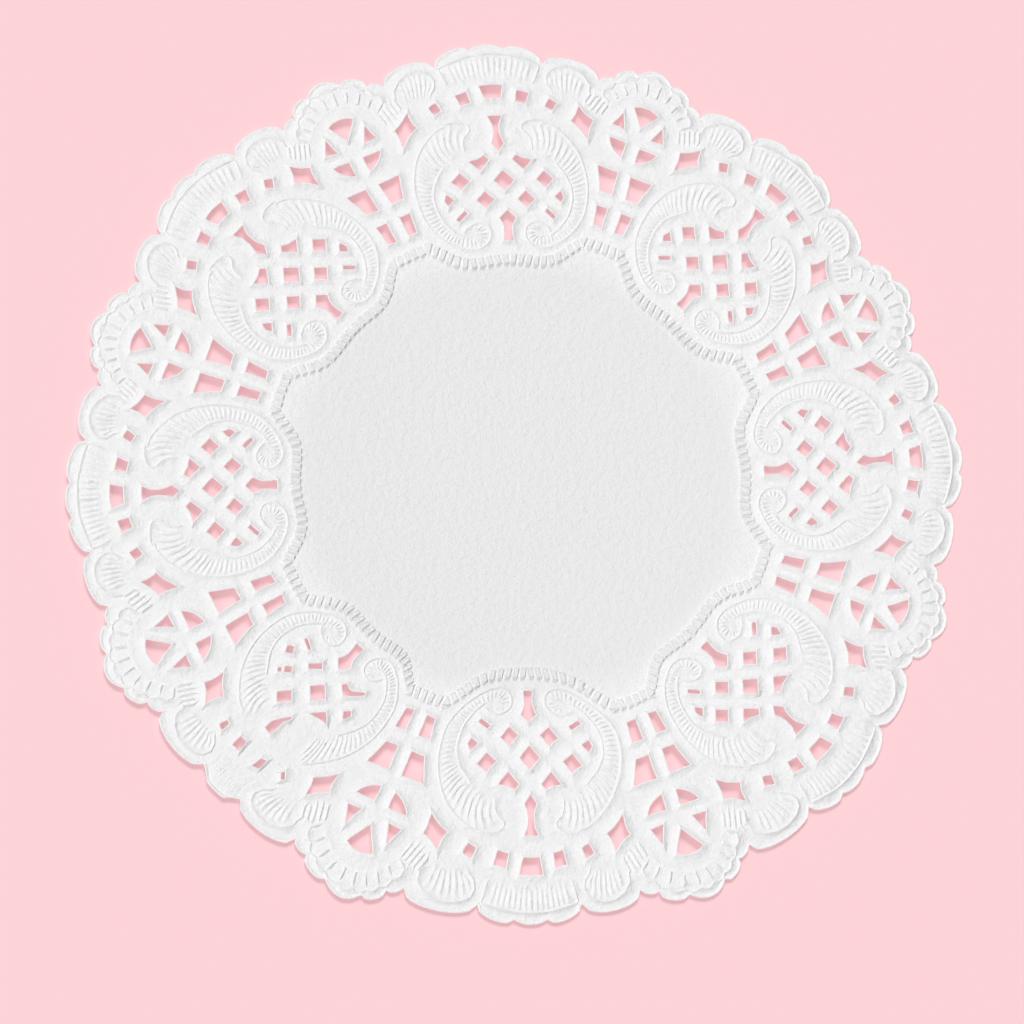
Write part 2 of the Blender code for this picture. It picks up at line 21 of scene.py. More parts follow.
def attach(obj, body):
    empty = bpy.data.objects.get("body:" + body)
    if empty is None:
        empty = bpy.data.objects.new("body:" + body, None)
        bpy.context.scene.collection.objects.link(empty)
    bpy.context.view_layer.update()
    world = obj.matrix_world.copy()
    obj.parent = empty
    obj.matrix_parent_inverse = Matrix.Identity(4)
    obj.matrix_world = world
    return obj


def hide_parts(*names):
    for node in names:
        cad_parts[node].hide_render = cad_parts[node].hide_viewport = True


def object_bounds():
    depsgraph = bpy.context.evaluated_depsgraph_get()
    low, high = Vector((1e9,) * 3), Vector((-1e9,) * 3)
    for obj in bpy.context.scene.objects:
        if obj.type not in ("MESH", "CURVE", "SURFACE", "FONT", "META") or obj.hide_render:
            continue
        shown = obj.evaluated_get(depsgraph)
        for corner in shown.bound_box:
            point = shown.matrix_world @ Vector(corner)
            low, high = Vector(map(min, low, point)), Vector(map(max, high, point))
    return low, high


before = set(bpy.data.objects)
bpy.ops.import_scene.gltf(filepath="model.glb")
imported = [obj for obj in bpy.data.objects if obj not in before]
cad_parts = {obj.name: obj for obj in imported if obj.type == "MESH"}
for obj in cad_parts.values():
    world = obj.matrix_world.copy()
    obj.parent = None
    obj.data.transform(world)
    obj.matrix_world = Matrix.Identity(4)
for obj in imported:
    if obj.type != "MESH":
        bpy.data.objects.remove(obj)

cad_box = [list(corner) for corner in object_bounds()]
MM = 0.001
width, depth, height = ((cad_box[1][k] - cad_box[0][k]) / MM for k in range(3))
print(f"the solid sheet is {width:.1f} x {depth:.1f} x {height:.1f} mm")

# %% [markdown]
# ## The camera
#
# A doily is pictured from almost straight above. A long lens from over a metre away
# keeps the far and the near scallops the same size. The camera leans 15 degrees off
# the vertical, towards the lower left, and is placed by the direction that it looks
# from, so its place and its turn come from the same two angles.

# %% The camera
LEAN = math.radians(14.99)             # off the vertical
SIDE = math.radians(-119.19)           # where it leans to, from +X
DISTANCE = 1.1386                      # metres
LENS, SENSOR = 180.2, 36.0             # millimetres
OFF_CENTRE = (0.00195, 0.0076)         # how far right and up the doily stands in the picture
SHEET_MIDDLE = Vector((0.48, -0.09, 0.0)) * MM

back = Vector((math.sin(LEAN) * math.cos(SIDE), math.sin(LEAN) * math.sin(SIDE), math.cos(LEAN)))
turn = Vector((0.0, 0.0, 1.0)).rotation_difference(back)
right, up = turn @ Vector((1.0, 0.0, 0.0)), turn @ Vector((0.0, 1.0, 0.0))
stand = SHEET_MIDDLE + back * DISTANCE - right * OFF_CENTRE[0] - up * OFF_CENTRE[1]
camera_data = bpy.data.cameras.new("camera")
camera_data.lens, camera_data.sensor_width = LENS, SENSOR
camera = bpy.data.objects.new("camera", camera_data)
camera.matrix_world = Matrix.Translation(stand) @ turn.to_matrix().to_4x4()
bpy.context.scene.collection.objects.link(camera)
bpy.context.scene.camera = camera
print(f"the camera is {camera.location.length:.3f} m away, with a {camera_data.lens:.0f} mm lens")

# %% [markdown]
# ## The chart of half a repeat
#
# The ornament is eight medallions with a small wheel between each two. Each half of a
# medallion mirrors the other, so the whole lace is one small wedge, 22.5 degrees wide,
# used over and over, and only one spoiled repeat has wedges of its own. A wedge is
# charted in millimetres: x across the medallion and y outwards from the middle of the
# sheet. The wheel has its own chart, u and v, along the other side of the wedge.

# %% Helpers of the chart
REPEATS = 8
PITCH = 360.0 / REPEATS                # degrees from one medallion's axis to the next
WEDGE = math.radians(PITCH / 2)        # from a medallion's axis to the wheel's axis
Corner = namedtuple("Corner", "x y")


def from_wheel(u, v):
    """A point of the wheel's chart, in the medallion's chart."""
    return (u * math.cos(WEDGE) + v * math.sin(WEDGE), v * math.cos(WEDGE) - u * math.sin(WEDGE))


def on_circle(centre, radius, degrees):
    """The point at that many degrees clockwise from the top of a circle."""
    a = math.radians(degrees)
    return (centre[0] + radius * math.sin(a), centre[1] + radius * math.cos(a))


def off_axis(point):
    """How far a point is from the wheel's axis; the wedge lies where it is negative."""
    return point[0] * math.cos(WEDGE) - point[1] * math.sin(WEDGE)


def ease(t):
    """From 0 to 1 with a level start and end, for t from 0 to 1."""
    t = min(max(t, 0.0), 1.0)
    return t * t * (3.0 - 2.0 * t)


def mixed(a, b, t):
    """The point that share of the way from a to b."""
    return tuple(p + (q - p) * t for p, q in zip(a, b))


def row_at(rows, number):
    """The columns of a table at a number between its rows, on a smooth curve."""
    last = len(rows) - 2
    i = max(k for k in range(last + 1) if k == 0 or rows[k][0] <= number)
    start, end = rows[i], rows[i + 1]
    before, after = rows[max(i - 1, 0)], rows[min(i + 2, last + 1)]
    span = end[0] - start[0]
    t = (number - start[0]) / span
    columns = []
    for p0, p1, p2, p3 in zip(before[1:], start[1:], end[1:], after[1:]):
        m1 = (p2 - p0) / (end[0] - before[0]) * span
        m2 = (p3 - p1) / (after[0] - start[0]) * span
        columns.append(p1 * (1 + 2 * t) * (1 - t) ** 2 + m1 * t * (1 - t) ** 2
                       + p2 * t * t * (3 - 2 * t) + m2 * t * t * (t - 1))
    return columns


def spaced(points, step, closed=False):
    """The corners of a line, with points added so that no stretch is over one step."""
    ring = list(points) + (list(points[:1]) if closed else [])
    placed = []
    for a, b in zip(ring, ring[1:]):
        count = max(1, round(math.dist(a, b) / step))
        placed += [mixed(a, b, i / count) for i in range(count)]
    return placed if closed else placed + [ring[-1]]


print("a point 100 mm out on the wheel's axis is x = %.1f, y = %.1f" % from_wheel(0.0, 100.0))

# %% [markdown]
# ## The outline
#
# The rim is a row of round scallops, large over each medallion and wheel, with smaller
# ones cut into them. It could be drawn as a Bezier curve, but a curve's handles say
# little about a scallop. So a table gives the notches between the scallops, and how far
# each scallop swells out from one notch to the next.

# %% The outline
Notch = namedtuple("Notch", "angle radius swell steps")
RIM = (
    Notch(angle=2.2, radius=99.9, swell=1.9, steps=9),
    Notch(angle=7.2, radius=96.6, swell=3.1, steps=12),
    Notch(angle=15.0, radius=94.9, swell=0.7, steps=5),
    Notch(angle=17.1, radius=96.2, swell=1.5, steps=8),
    Notch(angle=20.1, radius=98.7, swell=0.0, steps=1),
)
CENTRE_TIP, WHEEL_TIP = 101.0, 100.8
CENTRE_LOBE_FALL, WHEEL_LOBE_FALL = 1.1, 2.1       # from the tip of a lobe to its notch
LONE_TIP, LONE_LOBE_FALL = 99.7, 3.1               # the squeezed medallion has one broad lobe
LOBE_STEPS = 6
LOBE_POWER = 2.2                       # the higher it is, the rounder the tip


def lobe(tip, fall, angle_from, angle_to, steps):
    """Points down one side of a lobe: round at its tip and steeper at its notch."""
    turns = [angle_from + (angle_to - angle_from) * i / steps for i in range(steps + 1)]
    return [on_circle((0.0, 0.0), tip - fall * (i / steps) ** LOBE_POWER, angle)
            for i, angle in enumerate(turns)]


def arc(start, end, swell, steps):
    """Points from start up to end, not end itself, on an arc that swells outwards."""
    (x0, y0), (x1, y1) = start, end
    across = math.hypot(x1 - x0, y1 - y0)
    out_x, out_y = (y0 - y1) / across, (x1 - x0) / across
    points = []
    for i in range(steps):
        t = i / steps
        bulge = swell * math.sqrt(4.0 * t * (1.0 - t)) if swell > 0 else 0.0
        points.append((x0 + (x1 - x0) * t + out_x * bulge, y0 + (y1 - y0) * t + out_y * bulge))
    return points


def rim_points(lone_lobe):
    """The outline from the medallion's axis to the wheel's axis."""
    rows = RIM[1:] if lone_lobe else RIM
    notches = [on_circle((0.0, 0.0), row.radius, row.angle) for row in rows]
    if lone_lobe:
        points = lobe(LONE_TIP, LONE_LOBE_FALL, 0.0, rows[0].angle, 3 * LOBE_STEPS)[:-1]
    else:
        points = lobe(CENTRE_TIP, CENTRE_LOBE_FALL, 0.0, rows[0].angle, LOBE_STEPS)[:-1]
    for row, start, end in zip(rows, notches, notches[1:]):
        points += arc(start, end, row.swell, row.steps)
    last = lobe(WHEEL_TIP, WHEEL_LOBE_FALL, math.degrees(WEDGE), RIM[-1].angle, LOBE_STEPS)
    return points + last[::-1]


print(f"the rim of half a repeat has {len(rim_points(False))} points")

# %% [markdown]
# ## The holes
#
# The holes are the lace: a basket lattice inside each medallion with a keyhole above and
# below it, a ladder of little windows over the scrolls, a pinched diamond beside each
# wheel, and the wheel's own spokes. Boolean cutters could punch them out of a finished
# sheet, but they leave long, thin triangles that spoil the embossing. So each hole is a
# loop of points, and the triangles are later made round it.
#
# Short tables give the corners. A straight side is bent inwards a little, as the punch
# leaves it, and each hole is a little smaller than the punch, because the paper springs
# back behind it.

# %% The holes
WHEEL_CENTRE, WHEEL_HOLE_RADIUS = (0.0, 84.6), 6.6
CROSS_BAR_FOOT, SPOKE_HALF = 81.7, 1.75
FAN_APEX, FAN_TURN = 86.5, 27.0
ROUND_STEPS, QUARTER_STEPS = 4, 5      # points along the round side of the wheel's holes
PINCH = 0.08                           # how far a side of a hole bends inwards
SMALL_WINDOW = 2.4                     # a window this high or less has straight sides
SPRING_BACK = 0.12                     # the paper closes up again by this much behind the punch
CORNER_SHARE = 1.4                     # and by this many times as much at a corner
HOLE_STEP = 0.75                       # between points along the edge of a hole

# A window is a box with a wider or a narrower inner side. Its outer side faces turn
# degrees clockwise from straight outwards.
Window = namedtuple("Window", "x y turn outer inner height")
MIDDLE_WINDOW = Window(x=0.0, y=89.6, turn=0.0, outer=5.25, inner=3.6, height=3.1)
OUTER_ARCH, INNER_ARCH = 0.2, 0.1      # how far its two long sides arch outwards
WINDOWS = (
    Window(x=6.5, y=88.1, turn=18.0, outer=3.0, inner=2.5, height=2.9),        # of the ladder
    Window(x=12.8, y=86.1, turn=35.2, outer=2.2, inner=2.0, height=2.3),
    Window(x=9.45, y=68.7, turn=45.0, outer=3.04, inner=3.04, height=3.04),    # of the lattice
    Window(x=4.6, y=64.1, turn=45.0, outer=3.04, inner=3.04, height=3.04),
    Window(x=10.0, y=60.5, turn=45.0, outer=2.9, inner=2.9, height=1.1),
)
Profile = namedtuple("Profile", "y half")
UPPER_KEYHOLE = (
    Profile(y=83.9, half=1.6),
    Profile(y=83.1, half=1.2),
    Profile(y=82.0, half=0.68),
    Profile(y=80.0, half=0.55),
    Profile(y=78.6, half=0.82),
    Profile(y=77.4, half=1.35),
    Profile(y=75.7, half=0.0),
)
LOWER_KEYHOLE = (
    Profile(y=61.5, half=0.0),
    Profile(y=59.8, half=1.8),
    Profile(y=58.7, half=1.18),
    Profile(y=57.6, half=0.83),
    Profile(y=56.0, half=0.83),
    Profile(y=54.5, half=1.05),
)
LATTICE_CENTRE_Y, LATTICE_CENTRE_REACH = 68.6, 2.28
UPPER_LATTICE = (
    Corner(x=4.9, y=70.9),
    Corner(x=7.2, y=73.3),
    Corner(x=5.2, y=73.8),
    Corner(x=3.5, y=74.7),
    Corner(x=2.5, y=73.6),
)
CORNER_HOLE = (
    Corner(x=11.2, y=64.5),
    Corner(x=12.9, y=66.0),
    Corner(x=13.5, y=64.2),
    Corner(x=12.7, y=63.0),
)
DIAMOND = (
    Corner(x=19.0, y=85.6),
    Corner(x=22.1, y=82.0),
    Corner(x=20.5, y=77.7),
    Corner(x=17.0, y=82.2),
)
DIAMOND_PINCH = 0.35
TRIANGLE = (
    Corner(x=-3.3, y=84.6),
    Corner(x=-4.9, y=88.2),
    Corner(x=-6.4, y=84.8),
)
UPPER_WINDOW = (
    Corner(x=-1.5, y=74.7),
    Corner(x=-6.8, y=74.7),
    Corner(x=-4.6, y=69.1),
    Corner(x=-1.6, y=69.0),
)
LOWER_WINDOW = (
    Corner(x=-1.6, y=65.8),
    Corner(x=-4.3, y=65.8),
    Corner(x=-3.6, y=60.9),
    Corner(x=-1.5, y=60.7),
)
print(f"half a repeat has {len(WINDOWS)} whole windows")


# %% Helpers that shape a hole
def turned_box(row):
    """The four corners of a window, closed up a little on every side."""
    a = math.radians(row.turn)
    out, side = (math.sin(a), math.cos(a)), (math.cos(a), -math.sin(a))
    half_outer, half_inner, half_height = (size / 2 - SPRING_BACK
                                           for size in (row.outer, row.inner, row.height))
    places = ((half_height, -half_outer), (half_height, half_outer),
              (-half_height, half_inner), (-half_height, -half_inner))
    return [(row.x + out[0] * h + side[0] * w, row.y + out[1] * h + side[1] * w)
            for h, w in places]


def punched(corners, depth):
    """A closed hole whose sides bend towards its middle."""
    middle = tuple(sum(values) / len(corners) for values in zip(*corners))
    points = []
    for a, b in zip(corners, corners[1:] + corners[:1]):
        steps = max(2, round(math.dist(a, b) / HOLE_STEP))
        half_way = mixed(a, b, 0.5)
        to_middle = [m - h for m, h in zip(middle, half_way)]
        inwards = mixed((0.0, 0.0), to_middle, depth / math.dist(middle, half_way))
        for i in range(steps):
            bend = 4.0 * (i / steps) * (1.0 - i / steps)
            x, y = mixed(a, b, i / steps)
            points.append((x + inwards[0] * bend, y + inwards[1] * bend))
    return points


def closed_up(corners):
    """The corners of a hole, moved towards its middle as the paper springs back."""
    middle = tuple(sum(values) / len(corners) for values in zip(*corners))
    return [mixed(corner, middle, CORNER_SHARE * SPRING_BACK / math.dist(corner, middle))
            for corner in corners]


print(f"a punch of 3 mm leaves a window of {3.0 - 2 * SPRING_BACK:.2f} mm")


# %% The holes of half a repeat
def axis_holes(squeezed):
    """Half holes on the medallion's axis, each from its outer end to its inner end."""
    row = MIDDLE_WINDOW
    top, foot = row.y + row.height / 2, row.y - row.height / 2
    ladder = [(0.0, top), (row.outer / 2, top - OUTER_ARCH),
              (row.inner / 2, foot), (0.0, foot + INNER_ARCH)]
    upper = [(0.0, UPPER_KEYHOLE[0].y)] + [(row.half, row.y) for row in UPPER_KEYHOLE]
    lower = [(row.half, row.y) for row in LOWER_KEYHOLE] + [(0.0, LOWER_KEYHOLE[-1].y)]
    reach, y = LATTICE_CENTRE_REACH, LATTICE_CENTRE_Y
    centre = [(0.0, y + reach), (reach, y), (0.0, y - reach)]
    holes = [centre, lower] if squeezed else [ladder, upper, centre, lower]
    return [spaced(hole, HOLE_STEP) for hole in holes]


def wheel_axis_hole():
    """Half the fan on the wheel's axis, from its outer end to its inner end."""
    top = [on_circle(WHEEL_CENTRE, WHEEL_HOLE_RADIUS, -FAN_TURN * t / ROUND_STEPS)
           for t in range(ROUND_STEPS + 1)]
    return spaced([from_wheel(u, v) for u, v in top + [(0.0, FAN_APEX)]], HOLE_STEP)


def whole_holes(windows, shapes):
    """The holes that lie wholly inside the half repeat."""
    holes = [punched(turned_box(row), PINCH if row.height > SMALL_WINDOW else 0.0)
             for row in windows]
    holes += [punched(closed_up(shape), 0.0) for shape in shapes]
    holes.append(punched(list(DIAMOND), DIAMOND_PINCH))
    foot = math.degrees(math.asin(SPOKE_HALF / WHEEL_HOLE_RADIUS))
    side = math.degrees(math.acos((WHEEL_CENTRE[1] - CROSS_BAR_FOOT) / WHEEL_HOLE_RADIUS))
    turns = [180.0 + side + (foot - side) * t / QUARTER_STEPS for t in range(QUARTER_STEPS + 1)]
    quarter = [on_circle(WHEEL_CENTRE, WHEEL_HOLE_RADIUS, degrees) for degrees in turns]
    quarter.append((-SPOKE_HALF, CROSS_BAR_FOOT))
    quarter = spaced(quarter, HOLE_STEP, closed=True)
    holes.append([from_wheel(u, v) for u, v in quarter])
    for shape in (TRIANGLE, closed_up(UPPER_WINDOW), closed_up(LOWER_WINDOW)):
        holes.append(punched([from_wheel(u, v) for u, v in shape], PINCH))
    return holes


SHAPES = (UPPER_LATTICE, CORNER_HOLE)
print(f"half a repeat has {len(whole_holes(WINDOWS, SHAPES))} whole holes and "
      f"{len(axis_holes(False)) + 1} half ones")

# %% [markdown]
# ## The spoiled repeat
#
# One medallion of the eight was squeezed in the press. Its keyhole stands aslant, its
# lattice windows are narrow, one still has a scrap of paper across it and another has
# torn on into its neighbour. Such a spoiled repeat is what makes the sheet look made and
# not drawn, so it gets its own two tables, one for each side of its axis.

# %% The holes of the squeezed medallion
AHEAD_WINDOWS = (                      # clockwise of its axis
    Window(x=12.6, y=86.9, turn=30.0, outer=1.7, inner=1.3, height=2.2),
    Window(x=6.0, y=88.3, turn=5.0, outer=3.9, inner=2.5, height=2.8),
    Window(x=5.4, y=74.1, turn=47.0, outer=2.8, inner=2.8, height=3.7),
    Window(x=10.6, y=70.1, turn=52.0, outer=1.1, inner=1.3, height=1.1),
    Window(x=9.0, y=68.9, turn=60.0, outer=1.6, inner=1.7, height=1.9),
    Window(x=4.5, y=64.5, turn=50.0, outer=1.5, inner=1.7, height=3.4),
    Window(x=11.8, y=65.2, turn=-25.0, outer=2.1, inner=1.8, height=1.9),
    Window(x=9.4, y=61.8, turn=28.0, outer=3.1, inner=3.1, height=0.9),
)
SLANTED_KEYHOLE = (
    Corner(x=1.6, y=82.8),
    Corner(x=3.9, y=82.3),
    Corner(x=3.7, y=80.1),
    Corner(x=0.8, y=76.4),
    Corner(x=0.4, y=76.7),
    Corner(x=1.4, y=78.6),
)
BEHIND_WINDOWS = (                     # anticlockwise of it, mirrored
    Window(x=2.0, y=88.8, turn=15.0, outer=2.7, inner=1.7, height=2.8),
    Window(x=10.7, y=86.8, turn=-19.0, outer=2.7, inner=2.9, height=0.9),
    Window(x=9.8, y=67.8, turn=-39.0, outer=2.4, inner=1.6, height=2.1),
)
FLAT_LATTICE = (
    Corner(x=1.6, y=73.4),
    Corner(x=4.8, y=70.4),
    Corner(x=7.7, y=72.4),
    Corner(x=4.7, y=72.8),
)
TORN_LATTICE = (
    Corner(x=2.8, y=63.7),
    Corner(x=3.6, y=62.7),
    Corner(x=4.9, y=63.3),
    Corner(x=6.4, y=63.2),
    Corner(x=9.1, y=61.5),
    Corner(x=9.5, y=62.1),
    Corner(x=7.4, y=63.9),
    Corner(x=5.1, y=65.5),
)
Half = namedtuple("Half", "name windows shapes squeezed")
HALVES = (
    Half("usual half", WINDOWS, SHAPES, False),
    Half("squeezed half", AHEAD_WINDOWS, (SLANTED_KEYHOLE,), True),
    Half("squeezed other half", BEHIND_WINDOWS, (FLAT_LATTICE, TORN_LATTICE), True),
)
for row in HALVES:
    print(f"{row.name}: {len(whole_holes(row.windows, row.shapes))} whole holes")

# %% [markdown]
# ## The embossing
#
# The die raises ribs, beads and bars by a few tenths of a millimetre. A raised line
# needs a row of points on its crest and one at each of its feet, joined along the line,
# or the light finds no clean slope on it. So the mesh isn't an even grid. Each form is a
# few chains of points that the triangles have to follow, and only the plain paper
# between the forms is filled evenly.
#
# One function makes every fluted form. Its table gives, for some of the ribs, where the
# rib starts and ends, and a smooth curve gives the ribs between them. Another makes every
# bead, which is a thin raised line.

# %% Heights, ribs and beads
LIP, RIM_LIP = 0.74, 0.44              # how high a hole's edge, and the rim, are turned up
LIP_CREST = 0.20                       # from the edge to where it is highest
LIP_FOOT, RIM_FOOT = 1.10, 0.74        # from the edge to where the paper is flat again
MARGIN_WIDTH = 2.6                     # the plain margin slopes down towards the rim
RIB_HEIGHT, BEAD_HEIGHT, TOOTH_HEIGHT, PETAL_HEIGHT = 0.44, 0.33, 0.84, 0.16
Column = namedtuple("Column", "place rise")
RIB_COLUMNS = (                        # in shares of the pitch
    Column(place=-0.09, rise=1.0),
    Column(place=0.09, rise=1.0),
    Column(place=0.31, rise=0.0),
    Column(place=0.69, rise=0.0),
)
VALLEY_PAINTED_SHADE = -0.3                     # painted shade: the valleys between the ribs are painted darker
FULL_PITCH = 0.9                       # a rib of this pitch or more has its full height
BEAD_HALF, RIDGE_HEIGHT = 0.38, 0.48
BEAD_STEP = 0.8                        # between points along a bead
RIB_STEP = 1.7                         # between points along a rib
RIB_END = 0.4                          # the share of its height that a rib has at its ends
AHEAD = 0.1                            # of a pitch, to measure how wide a rib is
# A point's last column is its painted light: above 0 a painted highlight on a crest or cut edge,
# below 0 painted shade in a valley.
Lift = namedtuple("Lift", "x y z crisp", defaults=(0.0,))
Rib = namedtuple("Rib", "number outer_x outer_y inner_x inner_y bow")
print(f"a rib stands {RIB_HEIGHT:.2f} mm over its valley, a bead {BEAD_HEIGHT:.2f} mm")


# %% Helpers for ribs and beads
def ribs(rows, first, last, outer_gap, inner_gap, height=RIB_HEIGHT):
    """Chains along the ribs of a band: each crest, and the two sides of the valley after it."""
    chains = []
    places = [(n + column.place, column.rise)
              for n in range(first - 1, last) for column in RIB_COLUMNS]
    places = places[len(RIB_COLUMNS) - 1:]             # from the foot of the first rib
    for place, rise in places:
        outer_x, outer_y, inner_x, inner_y, bow = row_at(rows, place)
        beyond = row_at(rows, place + AHEAD)
        length = math.dist((outer_x, outer_y), (inner_x, inner_y))
        side = ((outer_y - inner_y) / length, (inner_x - outer_x) / length)
        start, end = outer_gap / length, 1.0 - inner_gap / length
        steps = max(2, round((end - start) * length / RIB_STEP))
        chain = []
        for i in range(steps + 1):
            t = start + (end - start) * i / steps
            x, y = mixed((outer_x, outer_y), (inner_x, inner_y), t)
            pitch = math.dist((x, y), mixed(beyond[0:2], beyond[2:4], t)) / AHEAD
            share = rise * (RIB_END if i in (0, steps) else 1.0) * min(1.0, pitch / FULL_PITCH)
            bend = bow * 4.0 * t * (1.0 - t)
            # a rib's crest gets a painted highlight, and its valley painted shade
            crisp = share if rise else VALLEY_PAINTED_SHADE
            chain.append(Lift(x + side[0] * bend, y + side[1] * bend, height * share, crisp))
        chains.append(chain)
    return chains


def bead(line, height=BEAD_HEIGHT, half_width=BEAD_HALF, outer_foot=0.0, inner_foot=0.0):
    """A thin raised line: its crest and its feet. Its outer foot is on the left, along it."""
    crest, outer, inner = [], [], []
    for i, (x, y) in enumerate(line):
        (x0, y0), (x1, y1) = line[max(i - 1, 0)], line[min(i + 1, len(line) - 1)]
        length = math.dist((x0, y0), (x1, y1))
        out = ((y0 - y1) / length * half_width, (x1 - x0) / length * half_width)
        # the crest of a bead gets the full painted highlight
        crest.append(Lift(x, y, height, 1.0))
        outer.append(Lift(x + out[0], y + out[1], outer_foot))
        inner.append(Lift(x - out[0], y - out[1], inner_foot))
    return [crest, outer, inner]


def guide(rows, first, last, outer, steps_per_rib=2):
    """The line through the outer, or the inner, ends of the rows of a table."""
    line = []
    for step in range(round(steps_per_rib * first), round(steps_per_rib * last) + 1):
        outer_x, outer_y, inner_x, inner_y, _ = row_at(rows, step / steps_per_rib)
        line.append((outer_x, outer_y) if outer else (inner_x, inner_y))
    return line


print(f"a rib and its valley are {len(RIB_COLUMNS)} chains, and a bead is 3")

# %% [markdown]
# ## The scroll
#
# Two scrolls frame each medallion, like a feather that is wound up at its lower end. On
# the die each is two engraved lines with flutes between them. One straight strip of
# flutes, bent along a curve, would give them all one length and one pitch, but these fan
# out round the bend. So a table says where they start and end.

# %% The scroll and its volute
SCROLL_RIBS = (
    Rib(0, 8.1, 81.6, 8.4, 76.0, 0.6),
    Rib(1, 9.5, 82.4, 9.7, 75.5, 0.8),
    Rib(3, 13.2, 80.9, 11.3, 74.1, 0.5),
    Rib(6, 17.2, 76.1, 13.3, 71.2, 0.3),
    Rib(10, 19.1, 70.6, 15.0, 68.2, 0.1),
    Rib(14, 19.3, 65.4, 15.6, 64.8, 0.0),
    Rib(19, 17.7, 59.6, 14.4, 60.4, 0.0),
    Rib(24, 14.1, 55.4, 12.0, 57.3, 0.0),
    Rib(28, 10.6, 53.4, 9.9, 55.8, 0.0),
)
VOLUTE_RIBS = (
    Rib(0, 10.6, 53.4, 9.9, 55.8, 0.0),
    Rib(2, 8.2, 52.8, 8.3, 55.4, 0.0),
    Rib(4, 5.9, 53.2, 7.2, 55.3, 0.0),
    Rib(6, 4.1, 55.1, 6.8, 56.2, 0.0),
    Rib(8, 4.2, 57.7, 7.0, 56.9, 0.0),
    Rib(10, 6.6, 58.9, 7.5, 57.2, 0.0),
    Rib(12, 8.9, 58.0, 8.1, 56.8, 0.0),
)
VOLUTE_END = (Corner(x=8.9, y=58.0), Corner(x=9.7, y=57.0), Corner(x=10.0, y=56.0))
TIP_CURL = (                           # from the lower end, beside the petal, round the tip
    Corner(x=7.6, y=76.4),
    Corner(x=7.6, y=77.9),
    Corner(x=7.1, y=79.3),
    Corner(x=6.3, y=80.1),
    Corner(x=5.7, y=81.0),
    Corner(x=6.0, y=82.0),
    Corner(x=7.0, y=82.6),
    Corner(x=8.4, y=82.9),
    Corner(x=10.2, y=82.8),
)
SCROLL_RUN, VOLUTE_RUN = 28, 12        # ribs from the tip to the volute, and round it
OUTER_FROM, INNER_FROM = 2, 5          # the ribs where the scroll's two beads start
OUTER_GAP, SCROLL_GAP, VOLUTE_GAP = 0.7, 0.5, 0.3      # from a bead to the ends of the ribs


def scroll(squeezed):
    """Two beads with ribs between them, wound up at the lower end and curled at the tip."""
    chains = bead(guide(SCROLL_RIBS, OUTER_FROM, SCROLL_RUN, True)[::-1])
    chains += bead(guide(SCROLL_RIBS, INNER_FROM, SCROLL_RUN, False))
    chains += bead(guide(VOLUTE_RIBS, 0, VOLUTE_RUN, True)[::-1])
    chains += bead(spaced(VOLUTE_END, BEAD_STEP)[::-1])
    if not squeezed:
        chains += bead(spaced(TIP_CURL, BEAD_STEP)[::-1])
    chains += ribs(SCROLL_RIBS, 0, SCROLL_RUN, OUTER_GAP, SCROLL_GAP)
    chains += ribs(VOLUTE_RIBS, 0, VOLUTE_RUN - 1, OUTER_GAP, VOLUTE_GAP)
    return chains


print(f"the scroll is {len(scroll(False))} chains of {sum(map(len, scroll(False)))} points")

# %% [markdown]
# ## The shells
#
# Fans of ribs fill the scallops of the rim: a wide one over each medallion, and a narrow
# one on each side of it. They are the scroll's flutes, spread out, so the same function
# makes them. The die hardly reached the wide one of the squeezed medallion, which keeps
# only a share of its height.

# %% The shells of the rim
CENTRE_SHELL = (
    Rib(0, 0.0, 98.5, 0.0, 93.9, 0.0),
    Rib(3, 4.05, 98.1, 3.5, 93.6, 0.0),
    Rib(6, 8.1, 96.9, 6.8, 92.8, 0.0),
    Rib(8, 10.6, 95.9, 9.0, 91.9, 0.0),
    Rib(9, 11.7, 95.2, 10.0, 91.4, 0.0),
)
SIDE_SHELL = (
    Rib(0, 13.8, 93.2, 14.2, 90.2, -0.5),
    Rib(1, 15.0, 94.1, 15.0, 89.8, -0.4),
    Rib(3, 17.6, 94.4, 16.7, 89.2, -0.2),
    Rib(5, 19.9, 93.1, 18.4, 88.9, 0.0),
    Rib(7, 21.6, 91.0, 20.3, 88.4, 0.0),
)
SIDE_SHELL_EDGE = (
    Corner(x=13.4, y=89.8),
    Corner(x=12.6, y=91.0),
    Corner(x=12.5, y=92.6),
    Corner(x=13.4, y=94.0),
    Corner(x=15.0, y=94.8),
    Corner(x=17.1, y=95.0),
    Corner(x=19.2, y=94.3),
    Corner(x=21.1, y=92.6),
    Corner(x=22.2, y=90.5),
    Corner(x=21.9, y=88.8),
)
SHELL_END = (Corner(x=11.5, y=96.0), Corner(x=10.8, y=94.0), Corner(x=9.8, y=91.8))
CENTRE_RUN, SIDE_RUN = 8, 7            # ribs
SHELL_FOOT = -0.05                     # the margin is pressed down a little along a shell
WORN = 0.3                             # what is left of the squeezed medallion's centre shell


def shells(squeezed):
    """The fan of ribs over the medallion, and the one between it and the wheel."""
    chains = bead(guide(CENTRE_SHELL, 0, CENTRE_RUN + 0.5, True), outer_foot=SHELL_FOOT)
    chains += bead(spaced(SHELL_END, BEAD_STEP))
    chains += ribs(CENTRE_SHELL, 0, CENTRE_RUN, OUTER_GAP, 0.0)
    if squeezed:
        # its painted highlight and shade wear down with its height
        chains = [[p._replace(z=p.z * WORN, crisp=p.crisp * WORN) for p in chain]
                  for chain in chains]
    chains += bead(spaced(SIDE_SHELL_EDGE, BEAD_STEP), outer_foot=SHELL_FOOT)
    chains += ribs(SIDE_SHELL, 0, SIDE_RUN, OUTER_GAP, 0.0)
    return chains


